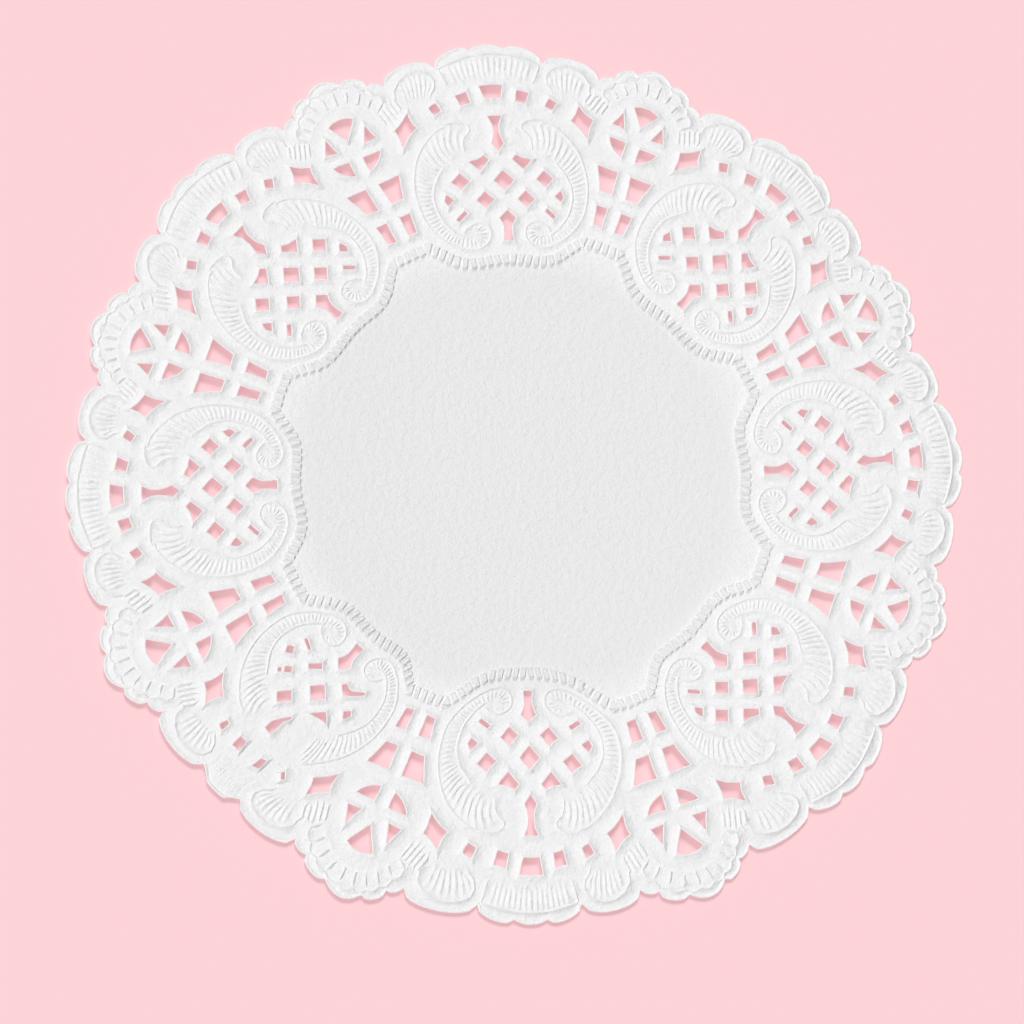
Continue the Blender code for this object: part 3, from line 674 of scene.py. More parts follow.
print(f"the two shells are {len(shells(False))} chains of {sum(map(len, shells(False)))} points")

# %% [markdown]
# ## The wheel's border
#
# A row of small arched cells runs round each wheel, with a ridge between each two. They
# stand at one pitch round the hub, so a loop in degrees sets them, and half a sine wave
# rounds the outer end of each. A few short bars fill the corner beside the diamond.

# %% The wheel's border
CELL_PITCH, CELLS = 13.3, 4            # degrees round the wheel
CELL_POINTS, INNER_POINTS = 6, 12      # along a cell's rounded end, and along the inner bead
RIDGE_STEP = 1.0
FIRST_RIDGE, PAST_AXIS = 6.6, -1.0     # degrees: the first ridge, and where the border starts
BORDER_INNER = 9.6
Cell = namedtuple("Cell", "degrees outer")
CELL_ENDS = (
    Cell(degrees=0.0, outer=13.7),
    Cell(degrees=20.0, outer=13.4),
    Cell(degrees=40.0, outer=12.8),
    Cell(degrees=66.0, outer=12.2),
)
CELL_SWELL = 0.6                       # how far a cell's rounded end stands out
RUNGS, RUNG_PITCH, RUNG_LENGTH = 5, 1.15, 2.2      # little bars between border and diamond
RUNG_DEGREES, RUNG_RADIUS = 71.5, 9.9  # round the wheel, and from its hub to the lowest bar


def on_wheel(radius, degrees):
    """The point at that many degrees anticlockwise from the top of the wheel."""
    return from_wheel(*on_circle(WHEEL_CENTRE, radius, -degrees))


def wheel_border():
    """Arched cells with a ridge between them round the upper part of the wheel, and the rungs."""
    chains, outer_line = [], []
    for point in range(-CELL_POINTS, CELL_POINTS * CELLS + 1):
        degrees = FIRST_RIDGE + point / CELL_POINTS * CELL_PITCH
        swell = CELL_SWELL * abs(math.sin(math.pi * point / CELL_POINTS))
        if degrees > PAST_AXIS:
            outer_line.append(on_wheel(row_at(CELL_ENDS, degrees)[0] + swell, degrees))
    last = FIRST_RIDGE + CELLS * CELL_PITCH
    inner_line = [on_wheel(BORDER_INNER, last * i / INNER_POINTS) for i in range(INNER_POINTS + 1)]
    chains += bead(outer_line[::-1]) + bead(inner_line, height=BEAD_HEIGHT / 3)
    for cell in range(CELLS + 1):
        degrees = FIRST_RIDGE + cell * CELL_PITCH
        ends = (BORDER_INNER + BEAD_HALF, row_at(CELL_ENDS, degrees)[0] - BEAD_HALF)
        ridge = spaced([on_wheel(radius, degrees) for radius in ends], RIDGE_STEP)
        chains += bead(ridge, height=RIDGE_HEIGHT)
    for rung in range(RUNGS):
        radius = RUNG_RADIUS + rung * RUNG_PITCH
        reach = math.degrees(RUNG_LENGTH / 2 / radius)
        ends = [on_wheel(radius, RUNG_DEGREES + way * reach) for way in (-1, 1)]
        chains += bead(spaced(ends, BEAD_STEP), height=RIDGE_HEIGHT)
    return chains


print(f"the wheel's border is {len(wheel_border())} chains")

# %% [markdown]
# ## The row of teeth
#
# A row of short bars goes round the plain middle, in and out with the medallions. Small
# separate blocks along a curve would be quicker to make, but a real tooth is pressed out
# of the sheet. So each is four short chains across a wavy line, two for its flat top and
# one for the foot of each side.

# %% The row of teeth
TEETH_PITCH = 1.8
TOOTH_HALF, TOOTH_LEAN = 1.25, 0.2     # half its length, and how far its end leans over
TEETH_LINE = (
    Corner(x=0.0, y=50.4),
    Corner(x=3.0, y=50.2),
    Corner(x=6.0, y=49.8),
    Corner(x=9.0, y=49.7),
    Corner(x=12.0, y=50.7),
    Corner(x=14.0, y=52.0),
    Corner(x=16.0, y=53.2),
    Corner(x=17.8, y=54.0),
    Corner(x=19.8, y=53.2),
    Corner(x=21.8, y=52.6),
)
Side = namedtuple("Side", "along z")   # in shares of the pitch and of the height
TOOTH_SIDES = (Side(-0.4, 0.0), Side(-0.2, 1.0), Side(0.2, 1.0), Side(0.4, 0.0))
TOOTH_ROWS = (-1.0, -0.72, 0.0, 0.72, 1.0)         # in shares of half its length


def along_line(line, place):
    """The point at a distance along a line, and the line's direction there."""
    for a, b in zip(line, line[1:]):
        length = math.dist(a, b)
        if place <= length or b is line[-1]:
            return mixed(a, b, place / length), ((b[0] - a[0]) / length, (b[1] - a[1]) / length)
        place -= length


def teeth():
    """Short bars across a wavy line, each a flat top with a slope all round it."""
    total = sum(math.dist(a, b) for a, b in zip(TEETH_LINE, TEETH_LINE[1:]))
    count = round(total / TEETH_PITCH)
    chains = []
    for tooth in range(count):
        for side in TOOTH_SIDES:
            (x, y), way = along_line(TEETH_LINE, (tooth + 0.5 + side.along) * total / count)
            chain = []
            for t in TOOTH_ROWS:
                across, slant = TOOTH_HALF * t, TOOTH_LEAN * t
                z = TOOTH_HEIGHT * side.z if abs(t) < 1.0 else 0.0
                chain.append(Lift(x - way[1] * across + way[0] * slant,
                                  y + way[0] * across + way[1] * slant, z))
            chains.append(chain)
    return chains


print(f"{len(teeth()) // len(TOOTH_SIDES)} teeth in half a repeat")

# %% [markdown]
# ## The petal
#
# A low, plain dome fills the paper between the upper keyhole and the tip of each scroll.
# It has no sharp line, so it needs no chain: its top, a ring of points part of the way
# down and a ring at its foot are enough.

# %% The petal beside the upper keyhole
PETAL_CENTRE, PETAL_SIZE = Corner(x=4.4, y=79.3), Corner(x=2.2, y=3.2)
Ring = namedtuple("Ring", "size points z")         # in shares of the petal's size and height
PETAL_RINGS = (Ring(size=0.5, points=6, z=0.8), Ring(size=1.0, points=12, z=0.0))


def petal():
    """A low dome, as rings of points."""
    chains = [[Lift(*PETAL_CENTRE, PETAL_HEIGHT)]]
    for ring in PETAL_RINGS:
        for i in range(ring.points):
            a = math.tau * i / ring.points
            x = PETAL_CENTRE.x + PETAL_SIZE.x * ring.size * math.sin(a)
            y = PETAL_CENTRE.y + PETAL_SIZE.y * ring.size * math.cos(a)
            chains.append([Lift(x, y, PETAL_HEIGHT * ring.z)])
    return chains


print(f"the petal is {2 * PETAL_SIZE.x:.1f} by {2 * PETAL_SIZE.y:.1f} mm")

# %% [markdown]
# ## Room for every point
#
# Two points that nearly touch make a sliver of a triangle, and a sliver catches the
# light like a scratch. So before a point is laid, it is asked whether it is on the paper
# and far enough from every edge and from every point that is already there. A search
# tree and a set of square cells answer that quickly.

# %% Helpers for laying the points
FILL_STEP, FILL_CLEAR = 1.5, 0.6       # between points of plain paper, and from them to a form
EDGE_STEP = 0.2                        # between points that a distance to an edge is taken from
ROLLED = 0.85                          # the edge's own height, as a share of its crest
CROWDED = 0.17                         # a form's point has this much room round it
ON_AXIS = 0.08                         # a point this near an axis is put on it
TINY, SAME_POINT = 1e-6, 1e-5


def snapped(point):
    """The point, moved onto the wedge's side if it is all but on it."""
    if abs(point.x) < ON_AXIS:
        return point._replace(x=0.0)
    if abs(off_axis(point)) < ON_AXIS:
        x, y = from_wheel(0.0, point.x * math.sin(WEDGE) + point.y * math.cos(WEDGE))
        return point._replace(x=x, y=y)
    return point


def tree_of(points):
    """The points in a tree that finds the nearest of them."""
    tree = KDTree(len(points))
    for i, point in enumerate(points):
        tree.insert((point[0], point[1], 0.0), i)
    tree.balance()
    return tree


def edge_tree(lines):
    """A tree of points set close together along cut edges."""
    return tree_of([p for line in lines for p in spaced(line, EDGE_STEP)])


def inside(point, loop):
    """Whether a point is inside a closed loop, by counting the sides it is left of."""
    x, y = point[0], point[1]
    hit = False
    for (x0, y0), (x1, y1) in zip(loop, loop[1:] + loop[:1]):
        if (y0 > y) != (y1 > y) and x < x0 + (x1 - x0) * (y - y0) / (y1 - y0):
            hit = not hit
    return hit


class Crowd:
    """Points that are taken, in square cells, so that the near ones are found quickly."""

    def __init__(self):
        self.cells = {}

    def add(self, point):
        self.cells.setdefault((int(point[0]), int(point[1])), []).append(point)

    def near(self, point, clear):
        """Whether a point that is taken lies nearer than that."""
        i, j = int(point[0]), int(point[1])
        cells = [(i + a, j + b) for a in (-1, 0, 1) for b in (-1, 0, 1)]
        return any(math.dist(point[:2], q[:2]) < clear
                   for cell in cells for q in self.cells.get(cell, ()))


print("plain paper has a point every", FILL_STEP, "mm")

# %% [markdown]
# ## The turned-up edge
#
# Along every cut edge the paper turns up a little, because the punch goes through it from
# below. A Bevel modifier would only round the edge itself. Here the whole strip beside
# the edge rises to a crest and falls off again with the distance from the edge, and a
# line of points follows its crest and another its foot.

# %% The turned-up edge
MITRE = 1.5                            # how many gaps a line moves out at a sharp corner
TOO_NEAR = 0.8                         # a line's point keeps this share of its gap


def lip(height, foot, distance):
    """How far the paper is turned up, at a distance from its cut edge."""
    if distance < LIP_CREST:
        return height * (ROLLED + (1.0 - ROLLED) * distance / LIP_CREST)
    return height * max(0.0, 1.0 - (distance - LIP_CREST) / (foot - LIP_CREST))


def beside_loop(loop, gap, closed, middle=None):
    """The line that keeps a gap from a hole's edge or, with the sheet's middle, from the rim.

    A line that isn't closed runs on past its ends, along the axis that cuts the hole.
    """
    points = []
    ring = loop + [middle] if middle else loop
    area = sum(a[0] * b[1] - b[0] * a[1] for a, b in zip(ring, ring[1:] + ring[:1]))
    way = gap if (area > 0) != bool(middle) else -gap
    last = len(loop) - 1
    for i, (x, y) in enumerate(loop):
        before, after = loop[i - 1] if i or closed else loop[0], loop[(i + 1) % len(loop)]
        if middle and i in (0, last):
            points.append(mixed((x, y), middle, gap / math.hypot(x, y)))
            continue
        if not closed and i in (0, last):
            far = loop[last - i]
            length = math.dist((x, y), far) / abs(gap)
            points.append((x + (x - far[0]) / length, y + (y - far[1]) / length))
            continue
        (ax, ay), (bx, by) = ((x - before[0], y - before[1]), (after[0] - x, after[1] - y))
        a, b = math.hypot(ax, ay), math.hypot(bx, by)
        nx, ny = ay / a + by / b, -ax / a - bx / b
        size = math.hypot(nx, ny)
        stretch = min(2.0 / size, MITRE) / size
        points.append((x + nx * way * stretch, y + ny * way * stretch))
    return points


print(f"a hole's edge is {ROLLED * LIP:.2f} mm up, and the paper is flat {LIP_FOOT} mm from it")

# %% [markdown]
# ## Laying the points
#
# The order decides who gets the room. The lines beside the cut edges come first, because
# every hole shows them. The ribs, beads and teeth follow, and are broken off where they
# would run into an edge. Plain paper comes last: it takes a point every millimetre and a
# half where there is room, and fewer in the smooth middle.

# %% Half a repeat while its points are laid
PLAIN_MIDDLE, MIDDLE_CLEAR = 45.0, 2.6             # points are sparse within this radius
PAST_SIDE = 0.01                       # so that a point on an axis counts as inside


class Layout:
    """Half a repeat: its cut edges, the chains laid on it, and the room that they take."""

    def __init__(self, half):
        self.rim, self.half_holes = rim_points(half.squeezed), axis_holes(half.squeezed)
        self.wheel_hole, self.holes = wheel_axis_hole(), whole_holes(half.windows, half.shapes)
        self.openings = [self.wheel_hole] + self.half_holes + self.holes
        self.outline = [(-PAST_SIDE, 0.0), (-PAST_SIDE, self.rim[0][1])] + self.rim
        self.outline += [from_wheel(PAST_SIDE, WHEEL_TIP), from_wheel(PAST_SIDE, 0.0)]
        closed = [hole + hole[:1] for hole in self.holes]
        self.rim_edge = edge_tree([self.rim])
        self.hole_edges = edge_tree([self.wheel_hole] + self.half_holes + closed)
        self.taken, self.laid = Crowd(), []

    def from_edges(self, point):
        """How far a point is from the rim, and from the nearest hole."""
        trees = (self.rim_edge, self.hole_edges)
        return [tree.find((point[0], point[1], 0.0))[2] for tree in trees]

    def turned_up(self, point):
        """How high the lips of the rim and of the holes are at a point."""
        from_rim, from_hole = self.from_edges(point)
        return max(lip(RIM_LIP, RIM_FOOT, from_rim), lip(LIP, LIP_FOOT, from_hole))

    def fits(self, point, clear):
        """Whether a point is on the paper, and that far from every edge and laid point."""
        return (point[0] > -1e-9 and off_axis(point) < 1e-9
                and min(self.from_edges(point)) > clear
                and not self.taken.near(point, clear) and inside(point, self.outline)
                and not any(inside(point, loop) for loop in self.openings))

    def lay_beside(self, loop, gap):
        """A line along a cut edge, broken where there is no room for it."""
        closed = loop in self.holes
        chain = beside_loop(loop, gap, closed, (0.0, 0.0) if loop is self.rim else None)
        runs = [[]]
        for place in chain + (chain[:1] if closed else []):
            point = snapped(Lift(*place, 0.0))
            clear = min(self.from_edges(point)) > TOO_NEAR * gap
            if clear and runs[0] and math.dist(point[:2], runs[0][0][:2]) < TINY:
                runs[-1].append(runs[0][0])
            elif clear and self.fits(point, CROWDED):
                # the line along the lip's crest gets a painted highlight, the line at its foot
                # none
                crest = 1.0 if gap == LIP_CREST else 0.0
                runs[-1].append(point._replace(z=self.turned_up(point), crisp=crest))
                self.taken.add(point)
            elif runs[-1]:
                runs.append([])
        self.laid += [run for run in runs if run]

    def lay_form(self, chain):
        """A chain of a raised form, on top of the lips, broken where there is no room."""
        runs = [[]]
        for point in map(snapped, chain):
            if self.fits(point, CROWDED):
                runs[-1].append(point._replace(z=point.z + self.turned_up(point)))
            elif runs[-1]:
                runs.append([])
        for point in (p for run in runs for p in run):
            self.taken.add(point)
        self.laid += [run for run in runs if run]

    def lay_plain(self, place):
        """One point of plain paper."""
        near_middle = math.hypot(*place) < PLAIN_MIDDLE
        point = snapped(Lift(*place, 0.0))
        if self.fits(point, MIDDLE_CLEAR if near_middle else FILL_CLEAR):
            self.laid.append([point._replace(z=self.turned_up(point))])
            self.taken.add(point)


print(f"the points of the usual half keep clear of {len(Layout(HALVES[0]).openings)} holes")

# %% What is laid, in its order
GRID_OUT, GRID_ACROSS, ROW_PITCH = 104.0, 44.0, 0.866      # rows of a grid of even triangles
AXIS_FROM, AXIS_STEP, AXIS_POINTS = 3.0, 1.1, 90


def fill_points():
    """Where plain paper may have a point: on the axes and on a grid."""
    points = []
    for i in range(AXIS_POINTS):
        out = AXIS_FROM + AXIS_STEP * i
        points += [(0.0, out), from_wheel(0.0, out)]
    for row in range(int(GRID_OUT / (FILL_STEP * ROW_PITCH))):
        aside = (row % 2) * FILL_STEP / 2
        for column in range(int(GRID_ACROSS / FILL_STEP)):
            points.append((column * FILL_STEP + aside, row * FILL_STEP * ROW_PITCH))
    return points


def laid_out(half):
    """Half a repeat with its edges first, then its forms, and plain paper between them."""
    layout = Layout(half)
    for loop in [layout.rim] + layout.openings:
        for gap in (LIP_CREST, RIM_FOOT if loop is layout.rim else LIP_FOOT):
            layout.lay_beside(loop, gap)
    forms = scroll(half.squeezed) + shells(half.squeezed) + wheel_border() + teeth() + petal()
    for chain in forms:
        layout.lay_form(chain)
    for place in fill_points():
        layout.lay_plain(place)
    return layout


print(len(fill_points()), "places for a point of plain paper in half a repeat")


# %% [markdown]
# ## Joining the points
#
# Blender's Fill would join the loops, but it knows nothing of the chains between them. A
# constrained Delaunay triangulation keeps every chain as an edge, so the crest of a rib
# stays one clean line, and it tells which triangles lie inside a hole, so that they can
# be left out.

# %% The loops of half a repeat
def edge_loops(layout):
    """The closed loops round the paper and round its holes, with their heights."""
    def cut_edge(loop):
        # a cut edge gets the full painted highlight
        return [Lift(*p, ROLLED * (RIM_LIP if loop is layout.rim else LIP), 1.0) for p in loop]

    lifted = [p for run in layout.laid for p in run]
    on_medallion = [p for p in lifted if p.x == 0.0]
    on_medallion += [p for hole in layout.half_holes for p in cut_edge(hole) if p.x == 0.0]
    on_wheels = [p for p in lifted if p.x != 0.0 and abs(off_axis(p)) < TINY]
    on_wheels += cut_edge([layout.wheel_hole[0], layout.wheel_hole[-1]])
    on_medallion.sort(key=lambda p: p.y)
    on_wheels.sort(key=lambda p: -p.y)
    sheet = [Lift(0.0, 0.0, 0.0)] + on_medallion + cut_edge(layout.rim) + on_wheels
    holes = layout.half_holes + [layout.wheel_hole] + layout.holes
    return [sheet] + [cut_edge(hole) for hole in holes]


print(len(edge_loops(Layout(HALVES[0]))), "closed loops in the usual half")


# %% The triangles of half a repeat
def stitched(layout):
    """The triangles between all the points, without those inside a hole."""
    corners, places = [], {}

    def index_of(p):
        key = (round(p.x, 4), round(p.y, 4))
        if key not in places:
            places[key] = len(corners)
            corners.append(p)
        return places[key]

    faces = []
    for loop in edge_loops(layout):
        face = []
        for p in loop:
            if not face or face[-1] != index_of(p):
                face.append(index_of(p))
        area = sum(corners[a].x * corners[b].y - corners[b].x * corners[a].y
                   for a, b in zip(face, face[1:] + face[:1]))
        faces.append(face if area > 0 else face[::-1])
    chains = [[index_of(p) for p in run] for run in layout.laid]
    joins = [(a, b) for chain in chains for a, b in zip(chain, chain[1:])]
    flat_corners = [Vector((p.x, p.y)) for p in corners]
    flat, _, triangles, sources, _, within = delaunay_2d_cdt(
        flat_corners, joins, faces, 0, SAME_POINT, True)
    nearest = tree_of(corners)
    points = []
    for place, source in zip(flat, sources):
        corner = corners[source[0] if source else nearest.find((*place, 0.0))[1]]
        points.append(corner._replace(x=place.x, y=place.y))
    only_sheet = [0]                   # within the first face and within no hole
    return points, [tri for tri, loops in zip(triangles, within) if list(loops) == only_sheet]


print(f"points within {SAME_POINT} mm of each other are made one")


# %% The meshes of the three halves
def half_mesh(half):
    """The object of half a repeat, with the painted highlight and shade of its crests, cut edges
    and valleys, and its plain margin.
    """
    layout = laid_out(half)
    points, triangles = stitched(layout)
    margins = [max(0.0, 1.0 - layout.from_edges(p)[0] / MARGIN_WIDTH) for p in points]
    mesh = bpy.data.meshes.new(half.name)
    mesh.from_pydata([Vector(p[:3]) * MM for p in points], [], triangles)
    # the painted highlight and shade go to the paper's colour, and the margin to its fall
    for name, values in (("crisp", [p.crisp for p in points]), ("margin", margins)):
        mesh.attributes.new(name, "FLOAT", "POINT").data.foreach_set("value", values)
    print(f"{half.name}: {len(points)} points, {len(triangles)} triangles")
    return bpy.data.objects.new(half.name, mesh)


usual_half, ahead_half, behind_half = (half_mesh(half) for half in HALVES)

# %% [markdown]
# ## Eight repeats
#
# Geometry Nodes do the turning. A tree mirrors the half, joins the two, and sets a copy
# of the pair on each of eight points round the middle. One repeat is the squeezed one,
# whose rim has one broad scallop in place of three. So the tree takes a second pair of
# halves, and a number says which of the eight it stands for.
#
# Node trees read better as sums, so one small class wraps a socket and overloads the
# operators. The paper's material uses it as well.

# %% A class for sums of nodes
class Sum:
    """A socket with arithmetic: each operator adds the Math node that it needs."""

    def __init__(self, tree, socket):
        self.tree, self.socket = tree, socket

    def node(self, kind, settings=None, values=None, out=0):
        """Adds a node, its settings first and then its sockets. A list fills one socket."""
        made = self.tree.nodes.new(kind)
        for name, value in (settings or {}).items():
            setattr(made, name, value)
        for name, value in (values or {}).items():
            for part in value if isinstance(value, list) else [value]:
                if isinstance(part, Sum):
                    self.tree.links.new(part.socket, made.inputs[name])
                else:
                    made.inputs[name].default_value = part
        return Sum(self.tree, made.outputs[out])

    def maths(self, operation, a, b):
        """A Math node of two sockets or numbers."""
        return self.node("ShaderNodeMath", {"operation": operation}, {0: a, 1: b})

    def __add__(self, other):
        return self.maths("ADD", self, other)

    def __mul__(self, other):
        return self.maths("MULTIPLY", self, other)

    def __truediv__(self, other):
        return self.maths("DIVIDE", self, other)

    def __sub__(self, other):
        return self.maths("SUBTRACT", self, other)

    def __rsub__(self, other):
        return self.maths("SUBTRACT", other, self)

    __radd__, __rmul__ = __add__, __mul__


print("sums of nodes can use +, -, * and /")

# %% The tree that turns the halves
SQUEEZED_REPEAT = 5                    # clockwise from the top one, which is 0
MERGE_WITHIN = 0.01 * MM
Input = namedtuple("Input", "name kind value", defaults=(None,))
TREE_INPUTS = (
    Input("Geometry", "NodeSocketGeometry"),
    Input("Usual half", "NodeSocketObject"),
    Input("Squeezed half", "NodeSocketObject"),
    Input("Squeezed other half", "NodeSocketObject"),
    Input("Repeats", "NodeSocketInt", REPEATS),
    Input("Squeezed repeat", "NodeSocketInt", SQUEEZED_REPEAT),
    Input("Paper", "NodeSocketMaterial"),
)


def repeat_tree():
    """The tree: halves are mirrored and joined, and a pair is set on each point."""
    tree = bpy.data.node_groups.new("eight repeats", "GeometryNodeTree")
    tree.interface.new_socket("Geometry", in_out="OUTPUT", socket_type="NodeSocketGeometry")
    for row in TREE_INPUTS:
        socket = tree.interface.new_socket(row.name, in_out="INPUT", socket_type=row.kind)
        if row.value is not None:
            socket.default_value = row.value
    sockets = tree.nodes.new("NodeGroupInput").outputs
    given = {socket.name: Sum(tree, socket) for socket in sockets}

    def fetched(name):
        piece = given[name]
        return piece.node("GeometryNodeObjectInfo", values={"Object": piece}, out="Geometry")

    def mirrored(piece):
        over = piece.node("GeometryNodeTransform",
                          values={"Geometry": piece, "Scale": (-1.0, 1.0, 1.0)})
        return over.node("GeometryNodeFlipFaces", values={0: over})

    def joined(first, second):
        return first.node("GeometryNodeJoinGeometry", values={0: [second, first]})

    usual = fetched("Usual half")
    usual_pair = joined(usual, mirrored(usual))
    squeezed_pair = joined(fetched("Squeezed half"), mirrored(fetched("Squeezed other half")))
    choice = usual.node("GeometryNodeGeometryToInstance", values={0: [squeezed_pair, usual_pair]})
    index = usual.node("GeometryNodeInputIndex")
    is_squeezed = index.node("FunctionNodeCompare", {"data_type": "INT", "operation": "EQUAL"},
                             {"A": index, "B": given["Squeezed repeat"]})
    points = index.node("GeometryNodePoints", values={"Count": given["Repeats"]})
    spin = index.node("ShaderNodeCombineXYZ", values={"Z": index * -math.tau / given["Repeats"]})
    placed = points.node("GeometryNodeInstanceOnPoints", values={
        "Points": points, "Pick Instance": True, "Instance": choice,
        "Instance Index": is_squeezed, "Rotation": spin})
    real = placed.node("GeometryNodeRealizeInstances", values={0: placed})
    whole = real.node("GeometryNodeMergeByDistance", values={0: real, "Distance": MERGE_WITHIN})
    finished = whole.node("GeometryNodeSetMaterial",
                          values={"Geometry": whole, "Material": given["Paper"]})
    tree.links.new(finished.socket, tree.nodes.new("NodeGroupOutput").inputs[0])
    return tree


print(f"the tree has {len(TREE_INPUTS)} inputs")


# %% Turning the halves
def set_inputs(modifier, values):
    """Gives the tree's inputs their values, each by its socket's identifier."""
    for item in modifier.node_group.interface.items_tree:
        if item.in_out == "INPUT" and item.name in values:
            modifier[item.identifier] = values[item.name]


paper = bpy.data.materials.new("embossed paper")
carrier = bpy.data.objects.new("carrier", bpy.data.meshes.new("carrier"))
bpy.context.scene.collection.objects.link(carrier)
repeats = carrier.modifiers.new("eight repeats", "NODES")
repeats.node_group = repeat_tree()
set_inputs(repeats, {"Usual half": usual_half, "Squeezed half": ahead_half,
                     "Squeezed other half": behind_half, "Paper": paper})
evaluated = carrier.evaluated_get(bpy.context.evaluated_depsgraph_get())
lace = bpy.data.meshes.new_from_object(evaluated)
carrier.modifiers.remove(repeats)
bpy.data.objects.remove(carrier)
for half in (usual_half, ahead_half, behind_half):
    bpy.data.objects.remove(half)
print(f"the even sheet has {len(lace.vertices)} points and {len(lace.polygons)} triangles")

# %% [markdown]
# ## As uneven as the real sheet
#
# No two repeats of a cheap doily lie quite where they should. The tables give how far
# each medallion, wheel and notch is off its even place, at three distances from the
# middle, and every point of the sheet is moved by the smooth curve through them. The
# even pattern stays simple, and the unevenness is one step that can be left out.

# %% The tables of unevenness
MEASURED_TURN = 3.2                    # degrees that the whole pattern is turned anticlockwise
RING_RADII = (60.0, 84.0, 96.0)        # by the teeth, by the ladder and at the rim
Drift = namedtuple("Drift", "teeth_turn ladder_turn rim_turn teeth_push ladder_push rim_push")
MEDALLION_DRIFTS = (
    Drift(1.1, -0.2, -0.6, -0.1, -0.4, -0.2),
    Drift(0.8, 0.0, -0.4, -0.6, -0.8, -1.0),
    Drift(0.9, -0.5, -0.5, 0.3, 0.2, -0.6),
    Drift(1.4, 1.0, 1.2, 0.5, -0.4, -0.1),
    Drift(2.4, 2.5, 2.8, -6.1, -3.2, -0.8),
    Drift(1.1, 0.7, 1.9, -1.3, -1.4, -1.1),
    Drift(0.3, -0.4, -0.8, -0.1, 0.4, 0.1),
    Drift(0.0, -0.5, -0.8, -0.5, -0.2, -0.1),
)
WHEEL_DRIFTS = (
    Drift(0.4, -0.2, -0.2, -0.2, -0.3, -0.4),
    Drift(0.5, -0.8, -0.9, -0.2, -0.6, -1.1),
    Drift(0.3, -0.1, -0.4, 0.1, 0.1, -0.3),
    Drift(0.1, 2.3, 2.1, -1.1, -0.7, 1.4),
    Drift(4.0, 4.2, 4.2, -2.6, -1.1, 2.1),
    Drift(-0.1, -1.1, -0.9, -0.8, 0.2, 1.9),
    Drift(-0.4, -0.6, -0.3, -0.3, 0.2, 0.0),
    Drift(0.1, -0.9, -0.6, -0.9, -0.9, -0.2),
)
Beside = namedtuple("Beside", "outer_before inner_before inner_after outer_after "
                              "diamond_before diamond_after")
BESIDE_ANGLES = Beside(-15.0, -7.2, 7.2, 15.0, -13.4, 13.4)
RING_COLUMNS = (                       # which of these places each ring's turn is measured at
    (),
    ("diamond_before", "diamond_after"),
    ("outer_before", "inner_before", "inner_after", "outer_after"),
)
BESIDE_TURNS = (
    Beside(-0.2, -0.6, -0.3, -0.1, -0.9, 0.1),
    Beside(-0.2, -0.2, -0.9, -0.9, -0.5, -0.5),
    Beside(-0.8, -1.0, -0.8, -0.4, -1.1, -0.2),
    Beside(-0.2, 0.4, 0.6, 2.3, -0.2, 1.9),
    Beside(3.1, 3.3, 2.6, 4.6, 2.5, 3.9),
    Beside(5.1, 6.0, -1.8, -0.9, 4.5, -0.8),
    Beside(-0.3, -0.6, 0.0, -0.1, -1.0, -0.3),
    Beside(0.2, -0.4, -0.1, -0.3, -0.8, -0.5),
)
WHEEL_TWIST, TWIST_REACH = 5.0, 15.0   # how many degrees a wheel is turned, and how far out
PLAIN_RADIUS, DRIFT_RADIUS = 20.0, 45.0            # from where, and to where, the drift sets in
print(f"the lowest medallion's teeth lie {-MEDALLION_DRIFTS[4].teeth_push:.1f} mm further in")


# %% Where a point goes
def between(knots, angle):
    """The eased value at an angle, from (angle, value) knots that close round 360."""
    if angle > knots[-1][0]:
        angle -= 360.0
    before = (knots[-1][0] - 360.0, knots[-1][1])
    for after in knots:
        if angle <= after[0]:
            t = ease((angle - before[0]) / (after[0] - before[0]))
            return before[1] + (after[1] - before[1]) * t
        before = after
    return before[1]


def drift_knots():
    """Knots of the turn and of the push for the three rings, clockwise."""
    rings = []
    for ring, names in enumerate(RING_COLUMNS):
        turns, pushes = [], []
        for i, (medallion, wheel, beside) in enumerate(
                zip(MEDALLION_DRIFTS, WHEEL_DRIFTS, BESIDE_TURNS)):
            axis, push = PITCH * i, ring + len(RING_COLUMNS)
            row = [(axis, medallion[ring]), (axis + PITCH / 2, wheel[ring])]
            row += [(axis + getattr(BESIDE_ANGLES, name), getattr(beside, name)) for name in names]
            turns += sorted(row)
            pushes += [(axis, medallion[push]), (axis + PITCH / 2, wheel[push])]
        rings.append((turns, pushes))
    return rings


def twisted(x, y):
    """Where a point goes when the wheel beside it is turned about its hub."""
    axis = PITCH * math.floor(math.degrees(math.atan2(x, y)) / PITCH) + PITCH / 2
    hub_x, hub_y = on_circle((0.0, 0.0), WHEEL_CENTRE[1], axis)
    dx, dy = x - hub_x, y - hub_y
    a = math.radians(WHEEL_TWIST) * (1.0 - ease(math.hypot(dx, dy) / TWIST_REACH))
    return (hub_x + dx * math.cos(a) + dy * math.sin(a),
            hub_y + dy * math.cos(a) - dx * math.sin(a))


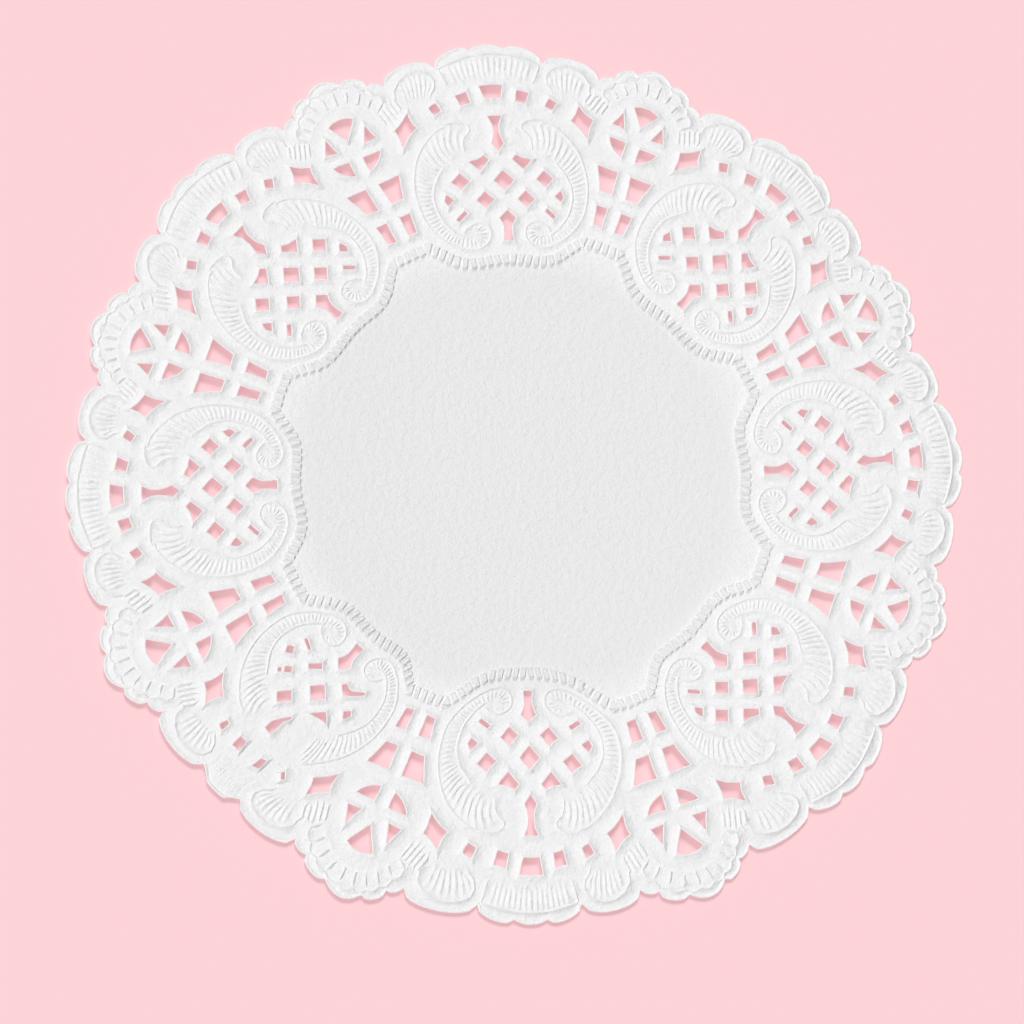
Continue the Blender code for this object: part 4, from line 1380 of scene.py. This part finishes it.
def uneven(x, y, rings):
    """Where a point of the even pattern lies on the real sheet."""
    x, y = twisted(x, y)
    radius = math.hypot(x, y)
    angle = math.degrees(math.atan2(x, y)) % 360.0
    turns = [between(knots, angle) for knots, _ in rings]
    pushes = [between(knots, angle) for _, knots in rings]
    teeth_ring, ladder_ring, rim_ring = RING_RADII
    to_ladder = ease((radius - teeth_ring) / (ladder_ring - teeth_ring))
    to_rim = ease((radius - ladder_ring) / (rim_ring - ladder_ring))
    turned, push = (values[0] + (values[1] - values[0]) * to_ladder
                    + (values[2] - values[1]) * to_rim for values in (turns, pushes))
    outside = ease((radius - PLAIN_RADIUS) / (DRIFT_RADIUS - PLAIN_RADIUS))
    a = math.radians(angle + turned * outside - MEASURED_TURN)
    radius += push * outside
    return (radius * math.sin(a), radius * math.cos(a))


rings = drift_knots()
print("the top medallion's tip lies at x = %.1f, y = %.1f" % uneven(0.0, CENTRE_TIP, rings))

# %% [markdown]
# ## The sheet, with its thickness
#
# Paper isn't quite flat once it is embossed. The lace border lifts a little off the
# table, in slow waves round the rim, and that is what throws the soft shadow at its
# edge. The plain margin outside the ornament falls back towards the table, most of all
# on the side where the rim curls down.
#
# Then the single layer of triangles gets the thickness of the paper: a Solidify
# modifier copies it downwards and closes the cut edges, so the embossing shows on the
# back as well, as it does on pressed paper. The sheet is shaded smoothly, except that a
# steep fold stays a crease, as the die leaves it.

# %% How the sheet lies
PAPER_THICKNESS = 0.15
REST = 0.16                            # the plain middle's height over the table
LACE_RISE, RISE_FROM, RISE_TO = 0.92, 18.0, 80.0
Wave = namedtuple("Wave", "height count turn")
WAVES = (Wave(0.08, 3, 0.4), Wave(0.05, 5, 2.1), Wave(0.03, 11, 1.0))
RIM_DROP, DROP_FROM, DROP_TO = 0.10, 80.0, 100.0   # how far the rim curls down on one side
DROP_SIDE = 70.0                       # where that side is, in degrees clockwise from the top
LEAST_FALL, MOST_FALL = 0.45, 0.85     # of the margin, down to the rim
CREASE = math.radians(42.0)


def towards_drop(x, y):
    """1 on the side where the rim curls down, and 0 on the other side."""
    return 0.5 + 0.5 * math.cos(math.atan2(x, y) - math.radians(DROP_SIDE))


def lift(x, y):
    """How far the flat of the sheet is over the table, in millimetres."""
    radius, angle = math.hypot(x, y), math.atan2(x, y)
    out = ease((radius - RISE_FROM) / (RISE_TO - RISE_FROM))
    wave = sum(w.height * math.sin(w.count * angle + w.turn) for w in WAVES)
    drop = RIM_DROP * towards_drop(x, y) * ease((radius - DROP_FROM) / (DROP_TO - DROP_FROM))
    return REST + out * (LACE_RISE + wave) - drop


print(f"at the top of the rim the sheet is {lift(0.0, CENTRE_TIP):.2f} mm over the table")

# %% The thin sheet
margin = lace.attributes["margin"].data
for vertex in lace.vertices:
    x, y = uneven(vertex.co.x / MM, vertex.co.y / MM, rings)
    fall = LEAST_FALL + (MOST_FALL - LEAST_FALL) * towards_drop(x, y)
    z = vertex.co.z / MM + lift(x, y) - fall * margin[vertex.index].value
    vertex.co = (Vector((x, y, z)) * MM) + SHEET_MIDDLE

doily = bpy.data.objects.new("paper_doily", lace)
bpy.context.scene.collection.objects.link(doily)
thicken = doily.modifiers.new("paper thickness", "SOLIDIFY")
thicken.thickness, thicken.offset = PAPER_THICKNESS * MM, -1.0
evaluated = doily.evaluated_get(bpy.context.evaluated_depsgraph_get())
sheet_mesh = bpy.data.meshes.new_from_object(evaluated)
doily.modifiers.remove(thicken)
doily.data = sheet_mesh
sheet_mesh.shade_smooth()
sheet_mesh.set_sharp_from_angle(angle=CREASE)
lowest = min(v.co.z for v in sheet_mesh.vertices) / MM
highest = max(v.co.z for v in sheet_mesh.vertices) / MM
triangles = sum(len(p.vertices) - 2 for p in sheet_mesh.polygons)
paper_area = sum(p.area for p in lace.polygons)
print(f"the sheet: {triangles} triangles, from {lowest:.2f} to {highest:.2f} mm over the table")

# %% [markdown]
# ## The paper
#
# The paper is uncoated: white, matt, and finely grained by the felt of the press. Its
# colour hardly changes: the plain middle is a little greyer, the crests and cut edges get
# a painted highlight, and the valleys between the ribs get painted shade. What the eye
# reads is the grain, so two scales of noise go into a bump, a coarse one for the felt and
# a fine one for the fibres. Modelled grain would take millions of triangles, and it is
# too fine to change the outline.

# %% The embossed paper
PAPER_WHITE, PAPER_SHADE = (0.92, 0.92, 0.92, 1.0), (0.80, 0.80, 0.80, 1.0)
PAPER_ROUGH, PAPER_SHINE = 0.82, 0.25
Noise = namedtuple("Noise", "scale detail rough share")    # scale: cells to a metre
NOISES = (
    Noise(scale=680.0, detail=3.0, rough=0.6, share=0.7),      # the felt
    Noise(scale=2100.0, detail=2.0, rough=0.7, share=0.3),     # the fibres
)
GRAIN_DEPTH = 0.46 * MM
LACE_FROM, LACE_TO = 0.046, 0.054      # metres from the middle: where the pressed lace begins
LACE_WHITE, CREST_PAINTED_LIGHT, GRAIN_WHITE = 0.44, 0.36, 0.1     # how white each makes the paper; the crests' share is painted highlight and painted shade
LACE_GRAIN = 0.2                       # how much deeper the grain is in the lace

paper.use_nodes = True
tree = paper.node_tree
shader = tree.nodes["Principled BSDF"]
shader.inputs["Roughness"].default_value = PAPER_ROUGH
shader.inputs["Specular IOR Level"].default_value = PAPER_SHINE
place = Sum(tree, tree.nodes.new("ShaderNodeTexCoord").outputs["Object"])
felt, fibre = (place.node("ShaderNodeTexNoise", values={
    "Vector": place, "Scale": row.scale, "Detail": row.detail, "Roughness": row.rough})
    for row in NOISES)
# the painted highlight of crests and cut edges, and the painted shade of valleys
crest = place.node("ShaderNodeAttribute", {"attribute_name": "crisp"}, out="Fac")
span = place.node("ShaderNodeVectorMath", {"operation": "LENGTH"}, {0: place}, out="Value")
in_lace = span.node("ShaderNodeMapRange", {"interpolation_type": "SMOOTHSTEP"},
                    {"Value": span, "From Min": LACE_FROM, "From Max": LACE_TO})
grain = felt * NOISES[0].share + fibre * NOISES[1].share
bump = grain.node("ShaderNodeBump", values={"Height": grain * (1.0 + in_lace * LACE_GRAIN),
                                            "Distance": GRAIN_DEPTH, "Strength": 1.0})
# the lace and the grain set the paper's tone; the crests add painted highlight and painted shade
whiteness_and_painted_light = in_lace * LACE_WHITE + crest * CREST_PAINTED_LIGHT + grain * GRAIN_WHITE
colour = grain.node("ShaderNodeMix", {"data_type": "RGBA"},
                    {"Factor": whiteness_and_painted_light, "A": PAPER_SHADE, "B": PAPER_WHITE}, out="Result")
tree.links.new(bump.socket, shader.inputs["Normal"])
tree.links.new(colour.socket, shader.inputs["Base Color"])
print("the grain is", " and ".join(f"{1.0 / row.scale / MM:.2f} mm" for row in NOISES))

# %% [markdown]
# ## Fixing the sheet to the frame
#
# The thin sheet stands for the thick solid one, which is hidden. It rides on the only
# body and takes the paper finish. The size of the round that it is punched from, and the
# area of the paper that is left, measured along its embossed surface, are printed.

# %% What the sheet is
FLAT = 0.203
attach(doily, "root")
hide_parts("doily")
print(f"flat size {FLAT / MM:.0f} mm across, {paper_area * 1e4:.0f} square centimetres of paper")

# %% [markdown]
# ## The table
#
# A plain pale pink table carries the doily and shows through its holes. It could have a
# grain or an edge, but nothing on it should compete with the lace. So it is one large,
# even square, and matt, so that no lamp makes a spot on it.

# %% The table
FLOOR_SIZE = 3.0
PALE_PINK = (0.955, 0.635, 0.665, 1.0)
floor_mesh = bpy.data.meshes.new("floor")
sides = ((-1, -1), (1, -1), (1, 1), (-1, 1))
floor_corners = [(x * FLOOR_SIZE / 2, y * FLOOR_SIZE / 2, 0.0) for x, y in sides]
floor_mesh.from_pydata(floor_corners, [], [(0, 1, 2, 3)])
floor = bpy.data.objects.new("floor", floor_mesh)
bpy.context.scene.collection.objects.link(floor)
pink = bpy.data.materials.new("pale pink table")
pink.use_nodes = True
pink_shader = pink.node_tree.nodes["Principled BSDF"]
pink_shader.inputs["Base Color"].default_value = PALE_PINK
pink_shader.inputs["Roughness"].default_value = 0.95
pink_shader.inputs["Specular IOR Level"].default_value = 0.0
floor_mesh.materials.append(pink)
print(f"the table is {FLOOR_SIZE:.0f} m square")

# %% [markdown]
# ## The light
#
# White paper on a pale table is drawn by light alone. Area lamps would light it more on
# one side than on the other. Sun lamps with a wide spread light the whole table evenly,
# and their shadows are just as soft. The first one, on the left, draws the ornament: the
# slopes towards it are light and those away from it are dark. It casts no shadow, so
# that the ribs stay clear. A broader one beside it shades the insides of the holes. The
# last, from the far side, throws the soft shadow along the doily's near edge, and a pale
# sky fills all the shadows.

# %% The light
# Azimuth, height and spread are in degrees, the azimuth clockwise from the far side.
Lamp = namedtuple("Lamp", "name azimuth height spread share shadow")
LAMPS = (
    Lamp(name="left, low", azimuth=-134.0, height=46.0, spread=30.0, share=0.31, shadow=False),
    Lamp(name="left, broad", azimuth=-120.0, height=48.0, spread=50.0, share=0.13, shadow=True),
    Lamp(name="far", azimuth=4.0, height=46.0, spread=26.0, share=0.34, shadow=True),
)
BRIGHTNESS = 1.03                      # all the light on the flat paper


def sun_light(lamp):
    """A sun lamp that gives flat paper its share of the brightness."""
    data = bpy.data.lights.new(lamp.name, "SUN")
    a, h = math.radians(lamp.azimuth), math.radians(lamp.height)
    data.energy = math.pi * BRIGHTNESS * lamp.share / math.sin(h)
    data.angle, data.use_shadow = math.radians(lamp.spread), lamp.shadow
    way = Vector((math.sin(a) * math.cos(h), math.cos(a) * math.cos(h), math.sin(h)))
    sun = bpy.data.objects.new(lamp.name, data)
    sun.matrix_world = way.to_track_quat("Z", "Y").to_matrix().to_4x4()
    bpy.context.scene.collection.objects.link(sun)


for lamp in LAMPS:
    sun_light(lamp)
sky_share = 1.0 - sum(lamp.share for lamp in LAMPS)
world = bpy.data.worlds.new("pale sky")
world.use_nodes = True
sky = world.node_tree.nodes["Background"]
sky.inputs["Color"].default_value = (1.0, 1.0, 1.0, 1.0)
sky.inputs["Strength"].default_value = BRIGHTNESS * sky_share
bpy.context.scene.world = world
bpy.context.scene.view_settings.view_transform = "Standard"
print(f"the sky gives {sky_share:.0%} of the light")

# %% [markdown]
# ## The solid box
#
# The box of the solid sheet is printed, in millimetres.

# %% Sizes, and the end
print("solid box ", [[round(v / MM, 2) for v in corner] for corner in cad_box])
